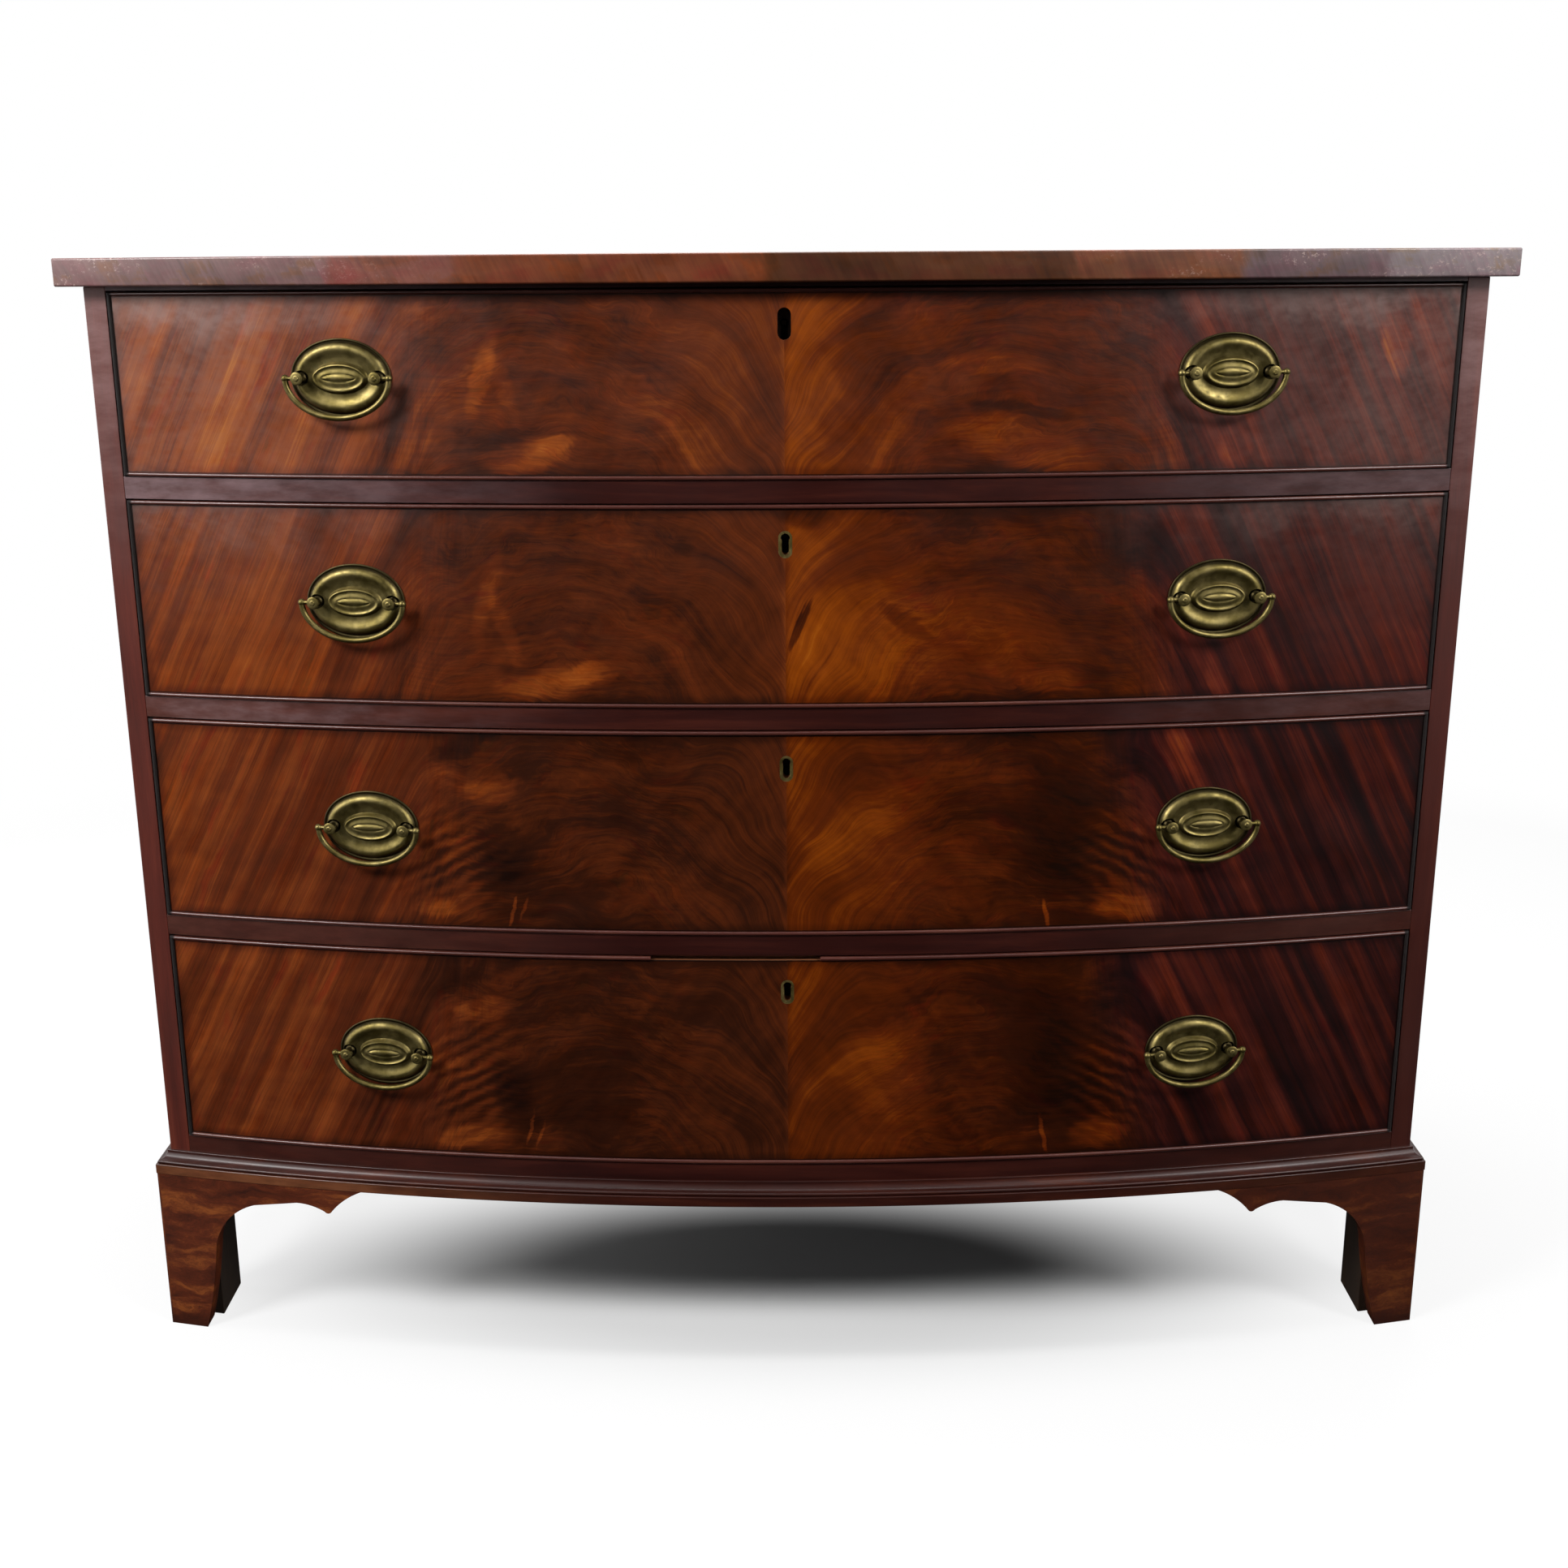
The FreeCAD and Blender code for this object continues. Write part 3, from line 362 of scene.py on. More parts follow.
# Place from the seam (left is negative), share of the height, half sizes, turn, how blurred, lightness
veneerSpots = {
    1: [(453, 0.7, 11, 26, 14, 0.5, 0.34), (-189, 0.13, 36, 12, 14, 0.4, 0.24),
        (-172, 0.19, 18, 7, 16, 0.4, 0.12), (-222, 0.55, 7, 34, -18, 0.6, 0.14),
        (-206, 0.5, 6, 28, 22, 0.6, 0.1), (-286, 0.4, 10, 40, -16, 0.7, -0.12),
        (174, 0.18, 56, 17, -14, 0.4, 0.2), (148, 0.6, 36, 7, -4, 0.5, 0.12),
        (66, 0.66, 22, 34, 0, 0.8, -0.14), (-60, 0.45, 36, 60, 0, 0.8, 0.1),
        (335, 0.16, 11, 20, 20, 0.5, 0.24), (-225, 0.16, 26, 14, 0, 0.7, -0.14),
        (180, 0.36, 44, 4, -8, 0.5, -0.14)],
    2: [(-226, 0.55, 7, 34, -18, 0.6, 0.12), (-212, 0.4, 6, 28, 20, 0.6, 0.1),
        (-178, 0.13, 42, 12, 13, 0.5, 0.24), (-150, 0.18, 28, 7, 14, 0.4, 0.14),
        (100, 0.34, 104, 44, 0, 0.6, 0.18), (92, 0.42, 26, 7, -30, 0.7, -0.16),
        (11, 0.42, 3, 20, -24, 0.4, -0.4), (194, 0.14, 30, 11, -10, 0.5, 0.18),
        (257, 0.74, 36, 20, 0, 0.8, -0.06), (14, 0.95, 20, 9, 0, 0.7, -0.24),
        (332, 0.12, 9, 24, 20, 0.5, 0.2)],
    3: [(-229, 0.71, 23, 11, 8, 0.5, 0.2), (-222, 0.28, 24, 46, 8, 0.8, -0.14),
        (-277, 0.12, 22, 8, 0, 0.5, 0.2), (-216, 0.1, 1.6, 14, -14, 0.5, 0.3),
        (-207, 0.12, 1.4, 10, -20, 0.5, 0.2), (-160, 0.14, 34, 26, 0, 0.8, -0.1),
        (64, 0.45, 46, 50, 0, 0.8, 0.12), (198, 0.55, 46, 38, 0, 0.8, -0.1),
        (204, 0.08, 1.8, 15, 10, 0.5, 0.34), (268, 0.11, 27, 12, -10, 0.5, 0.28),
        (305, 0.86, 12, 22, 18, 0.6, 0.2), (-245, 0.93, 24, 9, 20, 0.6, -0.2)],
    4: [(-245, 0.74, 22, 9, 16, 0.5, 0.2), (-155, 0.3, 34, 46, 0, 0.8, -0.12),
        (-262, 0.1, 26, 11, 8, 0.5, 0.2), (-210, 0.15, 1.5, 15, -14, 0.5, 0.26),
        (-202, 0.12, 1.4, 12, -18, 0.5, 0.2), (-220, 0.24, 16, 40, 8, 0.8, -0.12),
        (78, 0.42, 32, 40, 0, 0.8, 0.16), (192, 0.6, 36, 34, 0, 0.8, -0.1),
        (207, 0.12, 2.0, 17, 12, 0.5, 0.3), (250, 0.12, 22, 13, 0, 0.5, 0.22),
        (290, 0.8, 12, 26, 18, 0.6, 0.16), (-232, 0.94, 26, 10, 20, 0.6, -0.16)],
}
veneerKnots = {     # from the seam, share of the height, half sizes, how strongly the grain bends round it
    1: [(255, 0.7, 26, 30, 14)],
    2: [(252, 0.74, 28, 30, 20)],
    3: [(264, 0.87, 22, 15, 26), (215, 0.3, 46, 44, 18)],
    4: [(260, 0.86, 22, 16, 26), (220, 0.35, 50, 50, 22)],
}
# Ripples across the grain: from the seam, share of the height, half sizes
veneerRipples = {3: (262, 0.36, 34, 34), 4: (258, 0.4, 34, 44)}


def flameVeneer(number):
    look = veneerLook
    material, bench, shader = newFinish("flame_veneer_%d" % number, look["specular"], look["coat"],
                                        look["coatRoughness"])
    low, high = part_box("drawer_%d_front" % number)
    height = (high.z - low.z) / mm
    seed = 7.3 * (1 + (number - 1) // 2) + 0.35 * number
    x, y, z = bench.place()
    up = z - low.z / mm
    out = abs(x)
    right = bench.ease(x, -0.3, 0.3)

    def figure(name, across, along):
        wide, long, change, draw, *fineness = veneerFigure[name]
        return bench.cloud(across / wide, along / long, right * change + (seed + draw), *fineness) - 0.5

    def bulge(place, share, halfWidth, halfHeight):
        dx, dz = (out - place) / halfWidth, (up - share * height) / halfHeight
        return exponent(-(dx * dx + dz * dz))

    # How the grain runs: it feathers up from the seam, ripples over the middle and falls in ribbons
    skew, start, soft = out + up * look["ribbonLean"], look["ribbonStart"], look["ribbonBlend"]
    ribbons = bench.ease(skew, start - 26, start + 28)
    feather = bench.ease(out, look["featherStart"], look["featherFull"])
    middle = (1 - ribbons) * (1 - feather)
    drift = figure("drift", out, up)
    shake = figure("shake", out, up)
    rise = look["featherSlope"] * look["featherReach"] * (1 - exponent(out / -look["featherReach"]))
    fall = mathNode("LOGARITHM", 1 + exponent((skew - start) / soft), math.e) * soft
    line = up - rise + fall * look["ribbonSlope"] + drift * (74 - ribbons * 52) + shake * (middle * 18 + 3)
    core = 0.0
    for *spot, turn in veneerKnots[number]:
        swirl = bulge(*spot)
        line = line + swirl * turn
        core = swirl * swirl * swirl + core
    across = line / (1 + ribbons * (3.0 - right) + feather * 0.7)

    # Streaks and clouds, longest along the grain
    along = out * (1 - ribbons) + up * 0.8
    broad = figure("broad", across, along)
    stripe = figure("stripe", across, along)
    thread = figure("thread", across, along)
    smoke = figure("smoke", out, up)
    mottle = figure("mottle", across, along)
    places = tonePlaces if number < 3 else lowTonePlaces
    tone = bench.level(x, list(zip(places, veneerTones[number])))
    tone = tone + broad * (0.3 + ribbons * (right * 0.4 + 0.5))
    tone = tone + stripe * (0.18 + feather * 0.2 + ribbons * (right * 0.24 + 0.14))
    wisps = bench.cloud(out / 46 + shake, (up + drift * 40) / 2.6, right * 3 + (seed + 13), 2, 0.55) - 0.5
    tone = tone + thread * (0.3 + ribbons * 0.1) + wisps * middle * 0.24
    tone = tone + smoke * (middle * 0.22 + 0.24) + mottle * (0.14 + middle * 0.04)
    for spotX, share, halfWidth, halfHeight, turn, blur, lift in veneerSpots[number]:
        angle, size = math.radians(turn), min(halfWidth, 22)
        dx = x - spotX + shake * size * 1.4 + broad * size
        dz = up - share * height + drift * size * 0.5 + stripe * min(halfHeight, 14) * 1.4
        wide = (dx * math.cos(angle) + dz * math.sin(angle)) / halfWidth
        tall = (dz * math.cos(angle) - dx * math.sin(angle)) / halfHeight
        tone = tone + bench.ease(wide * wide + tall * tall, 1.1 + blur, 0.8 - blur) * lift
    if number in veneerRipples:
        wave = sine((up + out * 0.55 + shake * 16) * (math.tau / 12))
        tone = tone + wave * bulge(*veneerRipples[number]) * 0.16
    tone = tone - core * 0.12
    rim = lowest(lowest(up - look["beads"], height - look["beads"] - up), look["halfWidth"] - out)
    tone = tone - bench.ease(rim, 9, 0) * 0.14 - bench.ease(rim, 1.4, 0.4) * 0.3      # darker next to the beads

    red = right * (ribbons * 0.9 + middle * 0.1 - broad * 0.5) + ribbons * (0.15 + broad * 0.6)
    gold = (right * 0.8 + 0.2 + stripe * 0.3) * (1 - ribbons)
    browns, golds, reds = (bench.ramp(tone, look[name]) for name in ("browns", "golds", "reds"))
    colour = bench.blend(lowest(highest(gold, 0), 1), browns, golds)
    colour = bench.blend(lowest(highest(red, 0), 1), colour, reds)
    wear = bench.cloud(x / 60, y / 60, z / 45, 4, 0.6)
    hue = bench.cloud(across / 12 + shake, along / 46, right * 4 + (seed + 17), 3, 0.55)
    colour = bench.blend(ribbons * 0.75 + middle * 0.65, colour, bench.ramp(hue, look["tints"]), "MULTIPLY")
    # Painted sheen: the ends of the upper drawers, most of all their tops, are washed lighter and greyer in
    # patches
    sheenBreakup = bench.cloud(x / 9 + wear * 3, y / 9, z / 6, 2, 0.5)
    band = bench.ease(up + (wear - 0.5) * 90, height * 0.74, height * 0.98)
    paintedLight = bench.ease(out, 180, 500) * (band * 0.65 + 0.45) + 0.06
    paintedLight = paintedLight * bench.ease(z, look["paintedLightLow"], look["paintedLightHigh"])
    paintedLight = paintedLight * bench.stretch(sheenBreakup * 0.6 + wear * 0.9 - 0.25, 0.3, 0.7, 0.35, 1.0) * look["paintedLight"]
    colour = bench.blend(paintedLight, colour, look["paintedLightColour"])
    roughness = bench.stretch(wear, 0.3, 0.7, *look["roughness"])
    dress(bench, shader, colour, roughness, thread + stripe * 0.4, look["bump"])
    return material


# Straight-grained woods. The grain has its dark, middle and light colour, its axis, the width of its stripes,
# its contrast and its roughness
woodLooks = {
    "case_mahogany": {
        "grain": ("2d110d", "4f2018", "713626", "Z", 9.0, 1.0, 0.4), "coat": 0.12,
        "shade": (0.8, 760.0, 260.0), "paintedLight": (0.5, 0.6, 620.0, 860.0), "paintedLightColours": ("74443a", "8c6e6c")},
    "rail_mahogany": {
        "grain": ("180605", "2d0f0b", "461d14", "X", 5.0, 0.9, 0.36), "coat": 0.08,
        "shade": (0.45, 1300.0, 100.0),
        "paintedLight": (0.75, 0.42, -100.0, 760.0), "paintedLightColours": ("6e4236", "7c6466")},
    "moulding_mahogany": {
        "grain": ("180706", "2e110b", "502414", "X", 5.0, 0.9, 0.36), "coat": 0.15,
        # painted light: the fascia is lighter at the left, where the lamp falls
        "paintedLight": (0.7, 0.1, 151.5, 149.5), "paintedLightColours": ("8a5434", "8a5434")},
    "bead_mahogany": {
        "grain": ("260f0a", "44201a", "663a2c", "X", 4.0, 0.6, 0.3), "coat": 0.4, "ends": 502.0,
        "endShadeColour": "0c0504"},
    "foot_mahogany": {
        "grain": ("260f09", "542412", "8c4c20", "X", 7.0, 1.4, 0.44), "coat": 0.08, "mitre": 332.0,
        "mitreSide": 517.0, "scuff": 16.0, "curl": 26.0, "shade": (0.45, 900.0, 200.0)},
    "core_mahogany": {"grain": ("4a2a1a", "6d4229", "8a5a3a", "X", 9.0, 0.8, 0.62)},
    "lining_oak": {"grain": ("6a4a2c", "93704a", "b3916a", "Y", 6.0, 0.9, 0.62)},
    "bottom_oak": {"grain": ("6a4a2c", "8f6c47", "ad8b64", "X", 9.0, 0.9, 0.66)},
    "back_pine": {
        "grain": ("5d3d22", "8a6238", "a67e50", "X", 15.0, 1.2, 0.72), "planks": ("back_boards", 3)},
    # dirt and painted shade: the glue blocks inside the feet are near black
    "stained_pine": {"grain": ("0f0906", "1c120a", "2c1c10", "Z", 9.0, 1.0, 0.75)},
    "carcase_pine": {"grain": ("6e4c2b", "9a7244", "b58d5c", "X", 13.0, 1.1, 0.72)},
}


def wood(name):
    look = woodLooks[name]
    coat = look.get("coat", 0.0)
    dark, mid, light, axis, width, contrast, rough = look["grain"]
    material, bench, shader = newFinish(name, 0.2, coat, 0.3)
    x, y, z = bench.place()
    along, first, second = {"X": (x, y, z), "Y": (y, x, z), "Z": (z, x, y)}[axis]
    if "mitre" in look:     # the grain turns with the piece at the corner
        corner = bench.ease(abs(x) + y, look["mitre"] - 0.5, look["mitre"] + 0.5)
        turned = lowest(corner, bench.ease(abs(x), look["mitreSide"] - 0.5, look["mitreSide"] + 0.5))
        along, first = x + (y - x) * turned, y + (x - y) * turned
    seed = 3.1 * len(name)
    plank = 0.0
    if "planks" in look:    # each board comes from another plank
        node, count = look["planks"]
        low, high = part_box(node)
        share = (z - low.z / mm) * (count * mm / (high.z - low.z))
        for n in range(1, count):
            plank = bench.ease(share, n - 0.002, n + 0.002) + plank
        seed = plank * 7.7 + seed
    bend = bench.cloud(first / 160, second / 160, along / 420) - 0.5
    curl = bench.cloud(along / 38, first / 20, second / 16, 3, 0.55) - 0.5
    a, b = first + bend * 30, second + bend * 26 + curl * look.get("curl", 0.0)
    broad = bench.cloud(a / (3 * width), b / (3 * width), along / (60 * width) + seed) - 0.5
    stripe = bench.cloud(a / width, b / width, along / (28 * width) + seed, 3, 0.6) - 0.5
    pores = bench.cloud(a / 0.7, b / 0.7, along / 22 + seed, 2, 0.6)
    tone = 0.5 + (broad * 0.9 + stripe * 0.7 + (pores - 0.5) * 0.35 + plank * 0.09) * contrast
    colour = bench.grain(tone, (dark, mid, light))
    grime = bench.cloud(x / 120, y / 120, z / 120, 4, 0.65)
    colour = bench.blend(bench.ease(grime, 0.52, 0.74) * 0.3, colour, dark)
    roughness = bench.stretch(grime, 0.3, 0.7, rough - 0.05, rough + 0.08)
    if "ends" in look:      # painted shade: the upright lengths are painted near black for the shadowed gaps beside them, and made dull
        ends = bench.ease(abs(x), look["ends"] - 1, look["ends"] + 1)
        colour = bench.blend(ends, colour, look["endShadeColour"])
        feed(shader.inputs["Coat Weight"], coat * (1 - ends))
        roughness = roughness + ends * 0.4
    if "shade" in look:     # painted shade: dark towards the floor and the right
        share, high, low = look["shade"]
        colour = bench.blend(bench.ease(x, -200, 500) * bench.ease(z, high, low) * share, colour, dark)
    if "paintedLight" in look:      # painted light at the ends, a lighter wash standing in for sheen: share at the left and the right, heights
        left, right, low, high = look["paintedLight"]
        patches = bench.cloud(x / 46, y / 46, z / 14, 4, 0.65)
        share = bench.ease(x, -120, -480) * left + bench.ease(x, 180, 480) * right
        share = share * bench.ease(z, low, high)
        paintedLightTint = bench.blend(bench.ease(z + (patches - 0.5) * 500, 400, 760), *look["paintedLightColours"])
        colour = bench.blend(share * bench.stretch(patches, 0.35, 0.65, 0.35, 1.0), colour, paintedLightTint)
    if "scuff" in look:     # knocked and dirty where it stands on the floor
        knocks = bench.cloud(x / 5, y / 5, z / 4, 3, 0.7)
        dirt = bench.ease(z + (knocks - 0.5) * 16, look["scuff"], 2)
        specks = bench.ease(knocks, 0.56, 0.7) * bench.ease(z, 4 * look["scuff"], look["scuff"])
        colour = bench.blend(highest(dirt * 0.8, specks * 0.5), colour, dark)
    dress(bench, shader, colour, roughness, pores + stripe * 0.5, 0.05)
    return material


# The top: straight-grained boards, and an edge faced with strips laid across the grain
topLook = {
    "colours": ("2e1411", "532a1c", "7a4527"), "coat": 0.3, "specular": 0.25, "roughness": (0.28, 0.42),
    "half": 543.0, "overhang": 14, "facing": 3.0, "joint": 3.0,
    # Strip colours: their own tone, with the end strips lighter and greyer as painted sheen
    "strips": [(-543, "7e5f5c"), (-330, "7e4c40"), (-235, "7a4128"), (-14, "57331f"), (98, "5b3520"),
               (205, "7e4c32"), (330, "70585a"), (440, "8a7a7c")],
    "shades": [(0.15, "8a8a8a"), (0.85, "ffffff")],
    "tints": [(0.3, "ffccdc"), (0.42, "ffe8ee"), (0.52, "ffffff"), (0.6, "ffe4b4"), (0.72, "ccd8d4")],
    # painted sheen: pale specks on the edge strips towards the ends
    "sheenSpecks": "c4aca4", "sheenSpecksShare": 0.4, "sheenSpecksFrom": 160, "sheenSpecksTo": 470,
}


def topFinish():
    look = topLook
    material, bench, shader = newFinish("top_mahogany", look["specular"], look["coat"], 0.3)
    x, y, z = bench.place()
    bend = bench.cloud(x / 420, y / 120, 2.0) - 0.5
    arch = y + (x * x) / 5200 + bend * 46
    stripe = bench.cloud(arch / 9, x / 260, 4.0, 3, 0.6) - 0.5
    broad = bench.cloud(arch / 34, x / 600, 7.0) - 0.5
    pores = bench.cloud(arch / 0.8, x / 24, z / 3, 2, 0.6)
    board = bench.grain(0.5 + broad * 0.9 + stripe * 0.6 + (pores - 0.5) * 0.3, look["colours"])

    # The strips, each a little lighter or darker along its grain
    wander = (bench.cloud(z / 14, x / 90, 1.0) - 0.5) * 7
    length = 2 * look["half"]
    shares = [((at + look["half"]) / length, code) for at, code in look["strips"]]
    stops = shares[:1]
    soft = look["joint"] / length
    for last, (at, code) in zip(shares, shares[1:]):
        stops += [(at - soft, last[1]), (at + soft, code)]
    strips = bench.ramp(bench.stretch(x + wander, -look["half"], look["half"]), stops)
    lines = bench.cloud((x + z * 0.5) / 4.5, z / 40, y / 200, 3, 0.6) - 0.5
    patches = bench.cloud(x / 60, z / 24, 5.0, 3) - 0.5
    shade = bench.ramp(0.5 + lines * 0.6 + patches * 0.8, look["shades"])
    strips = bench.blend(1.0, strips, shade, "MULTIPLY")
    hue = bench.cloud(x / 34 + lines, z / 22, 9.0, 3, 0.6)
    strips = bench.blend(0.85, strips, bench.ramp(hue, look["tints"]), "MULTIPLY")
    # Painted sheen: pale specks on the strips towards the ends
    sheenBreakup = bench.cloud(x / 3.2, y / 9, z / 2.4, 3, 0.75)
    sheenSpecks = bench.ease(sheenBreakup, 0.56, 0.66) * bench.ease(abs(x + 40), look["sheenSpecksFrom"], look["sheenSpecksTo"])
    sheenSpecks = sheenSpecks * bench.ease(patches, -0.08, 0.08)
    strips = bench.blend(sheenSpecks * look["sheenSpecksShare"], strips, look["sheenSpecks"])

    radius = root(x * x + (y - bow["centreY"]) * (y - bow["centreY"]))
    inner = bow["radius"] + look["overhang"] - look["facing"]
    colour = bench.blend(bench.ease(radius, inner - 0.2, inner), board, strips)
    wear = bench.cloud(x / 90, y / 90, z / 30, 4, 0.6)
    dress(bench, shader, colour, bench.stretch(wear, 0.3, 0.7, *look["roughness"]), pores, 0.03)
    return material


metalLooks = {      # rubbed where it stands proud, plain, green, deep in the hollows; roughness
    "aged_brass": ("6a5e38", "4e4420", "403e28", "1e1708", 0.43),
    "lock_brass": ("7a6a40", "5c4f28", "3c3f2c", "2a2312", 0.45),
    "lock_iron": ("35302b", "241f1c", "2a211b", "120f0d", 0.6),
    "screw_iron": ("6b6560", "46403b", "3b3029", "241f1c", 0.5),
}


def metal(name):
    rubbed, plain, green, deep, rough = metalLooks[name]
    material, bench, shader = newFinish(name, 0.5, metallic=0.9)
    x, y, z = bench.place()
    tarnish = bench.cloud(x / 14, y / 14, z / 14, 4, 0.6)
    spots = bench.cloud(x / 4, y / 4, z / 4, 3, 0.6)
    hollow = bench.add("ShaderNodeAttribute", {"attribute_name": "hollow"}, {}, "Fac")
    colour = bench.blend(bench.ease(tarnish, 0.35, 0.65), rubbed, plain)
    colour = bench.blend(bench.ease(spots, 0.55, 0.75) * 0.45, colour, green)
    colour = bench.blend(bench.ease(hollow + (tarnish - 0.5) * 0.5, 0.15, 0.9) * 0.85, colour, deep)
    roughness = bench.stretch(spots, 0.3, 0.7, rough - 0.08, rough + 0.14)
    dress(bench, shader, colour, roughness, tarnish, 0.02)
    return material


finishes = {name: wood(name) for name in woodLooks}
finishes.update({name: metal(name) for name in metalLooks})
finishes["top_mahogany"] = topFinish()
for number in drawerNumbers:
    finishes["veneer_%d" % number] = flameVeneer(number)
print("finishes made:", len(finishes))


# Veneer leaves, cut out round the keyhole
leafSizes = {"Reach": 503.0, "Low": 0.0, "High": 100.0, "Hole Radius": 5.2, "Hole High": 0.0, "Hole Low": 0.0,
             "Side": 1.0}
leafLook = {"thick": 1.0, "ease": 0.15, "stations": 60, "drill": 20.0, "keyDrop": 24.5, "slotLength": 10.0,
            "threadRadius": 5.2, "threadDepth": 2.0, "bareRadius": 4.9, "bareRise": 6.0, "bareFall": 7.0}


def leafTree():
    bench, inputs = geometryBench("veneerLeaf", leafSizes)
    mesh, along, depth, share = swept(bench, inputs["Geometry"], leafLook["stations"])
    x = along * inputs["Reach"] * inputs["Side"]
    z = inputs["Low"] + share * (inputs["High"] - inputs["Low"])
    mesh = moved(bench, mesh, x, bowY(x, -depth), z)
    ends = [rod(bench, 32, inputs["Hole Radius"], leafLook["drill"], (0, bowMiddle, inputs[end]))
            for end in ("Hole High", "Hole Low")]
    return closeTree(bench, softened(bench, drilled(bench, mesh, hull(bench, ends)), 0.3), inputs)


def leafOutline():
    thick, ease = leafLook["thick"], leafLook["ease"]
    return [(0, ease / 100), (ease, 0), (thick, 0), (thick, 1), (ease, 1), (0, 1 - ease / 100)]


# Cockbeads round each drawer front
beadSizes = {"Half Length": 506.0, "Low": 0.0, "High": 100.0, "Gap Start": 0.0, "Gap End": 0.0}
beadLook = {"width": 3.0, "proud": 1.8, "depth": 7.2, "round": 1.35, "stations": 48, "sideStations": 6}
missingBead = {4: (-108.0, 26.0)}       # where a length has broken away


def beadTree():
    bench, inputs = geometryBench("cockbeads", beadSizes)
    runs = []
    for edge in ("topLeft", "topRight", "bottom", "left", "right"):
        count = beadLook["sideStations"] if edge in ("left", "right") else beadLook["stations"]
        mesh, along, inset, depth = swept(bench, inputs["Geometry"], count)
        reach = inputs["Half Length"] - inset
        low, high = inputs["Low"] + inset, inputs["High"] - inset
        if edge == "topLeft":
            x, z = along * (inputs["Gap Start"] + reach) - reach, high
        elif edge == "topRight":
            x, z = inputs["Gap End"] + along * (reach - inputs["Gap End"]), high
        elif edge == "bottom":
            x, z = (along * 2 - 1) * reach, low
        else:
            x, z = (reach if edge == "right" else -reach), low + along * (high - low)
        runs.append(moved(bench, mesh, x, bowY(x, -depth), z))
    return closeTree(bench, softened(bench, joinedUp(bench, runs), 0.9), inputs)


def arcPoints(x, y, radius, start, end, steps):
    turns = [math.radians(start + (end - start) * n / steps) for n in range(steps + 1)]
    return [(x + radius * math.cos(turn), y + radius * math.sin(turn)) for turn in turns]


def beadOutline():
    width, bend, depth = beadLook["width"], beadLook["round"], beadLook["depth"]
    front = bend - beadLook["proud"]
    rounds = arcPoints(bend, front, bend, 180, 270, 6) + arcPoints(width - bend, front, bend, 270, 360, 6)
    return rounds + [(width, depth), (0, depth)]


# The brass ring let in round a keyhole
threadSizes = {"Outer": 5.15, "Eye": 3.3, "Slot": 2.6, "Fall": 10.0, "Height": 0.0, "Depth": 2.0}


def threadTree():
    bench, inputs = geometryBench("keyholeThread", threadSizes)

    def peg(radius, fall, deep):
        place = (0.0, inputs["Depth"] / 2 + bowMiddle, inputs["Height"] - inputs["Fall"] * fall)
        return rod(bench, 40, inputs[radius], inputs["Depth"] * deep, place)

    def slot(radius, deep):
        return hull(bench, [peg(radius, 0, deep), peg(radius, 1, deep)])

    ring = slot("Outer", 1)
    for drill in (slot("Slot", 3), peg("Eye", 0, 3)):
        ring = drilled(bench, ring, drill)
    return closeTree(bench, softened(bench, ring), inputs)


leaves, beads, threads = leafTree(), beadTree(), threadTree()
for number in drawerNumbers:
    body = "drawer_%d" % number
    trim = body + "_veneer_and_beads"
    bottom, top = (corner.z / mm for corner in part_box(body + "_front"))
    keyHeight = top - leafLook["keyDrop"]
    if number == 1:
        radius, rise, fall = leafLook["bareRadius"], leafLook["bareRise"], leafLook["bareFall"]
    else:
        radius, rise, fall = leafLook["threadRadius"], 0.0, leafLook["slotLength"]
    sizes = {"Hole Radius": radius, "Hole High": keyHeight + rise, "Hole Low": keyHeight - fall,
             "Low": bottom + beadLook["width"], "High": top - beadLook["width"]}
    for label, side in sides.items():
        grow("%s_leaf_%s" % (body, label), leaves, leafOutline(), {**sizes, "Side": side},
             "veneer_%d" % number, body, "flame_veneer", trim)
    if number > 1:
        grow(body + "_thread", threads, [(0, 0), (1, 0)], {"Height": keyHeight}, "lock_brass", body, "brass",
             body + "_lock", closed=False)
    gap = missingBead.get(number, (0.0, 0.0))
    sizes = {"Low": bottom, "High": top, "Gap Start": gap[0], "Gap End": gap[1]}
    grow(body + "_cockbeads", beads, beadOutline(), sizes, "bead_mahogany", body, "mahogany", trim)
print("veneer and beads laid")


# Foot moulding
mouldingSizes = {"Half Case": 525.0, "Back": 261.5}
mouldingLook = {"low": 142.5, "high": 161.0, "lipOut": 2.0, "lipHeight": 1.0, "lipEase": 0.3, "coveOut": 8.0,
                "coveDrop": 6.0, "coveSteps": 12, "beadHeight": 3.0, "beadSwell": 1.6, "beadSteps": 11,
                "out": 11.0, "footEase": 0.4, "stations": 64}


def mouldingTree():
    bench, inputs = geometryBench("footMoulding", mouldingSizes)
    mesh, along, out, z = swept(bench, inputs["Geometry"], mouldingLook["stations"])
    x = (along * 2 - 1) * (out + inputs["Half Case"])
    runs = [moved(bench, mesh, x, bowY(x, out), z)]
    for side in (-1, 1):
        mesh, along, out, z = swept(bench, inputs["Geometry"], 2)
        x = (out + inputs["Half Case"]) * side
        corner = bowY(x, out)
        runs.append(moved(bench, mesh, x, corner + along * (inputs["Back"] - corner), z))
    return closeTree(bench, softened(bench, joinedUp(bench, runs), 0.45), inputs)


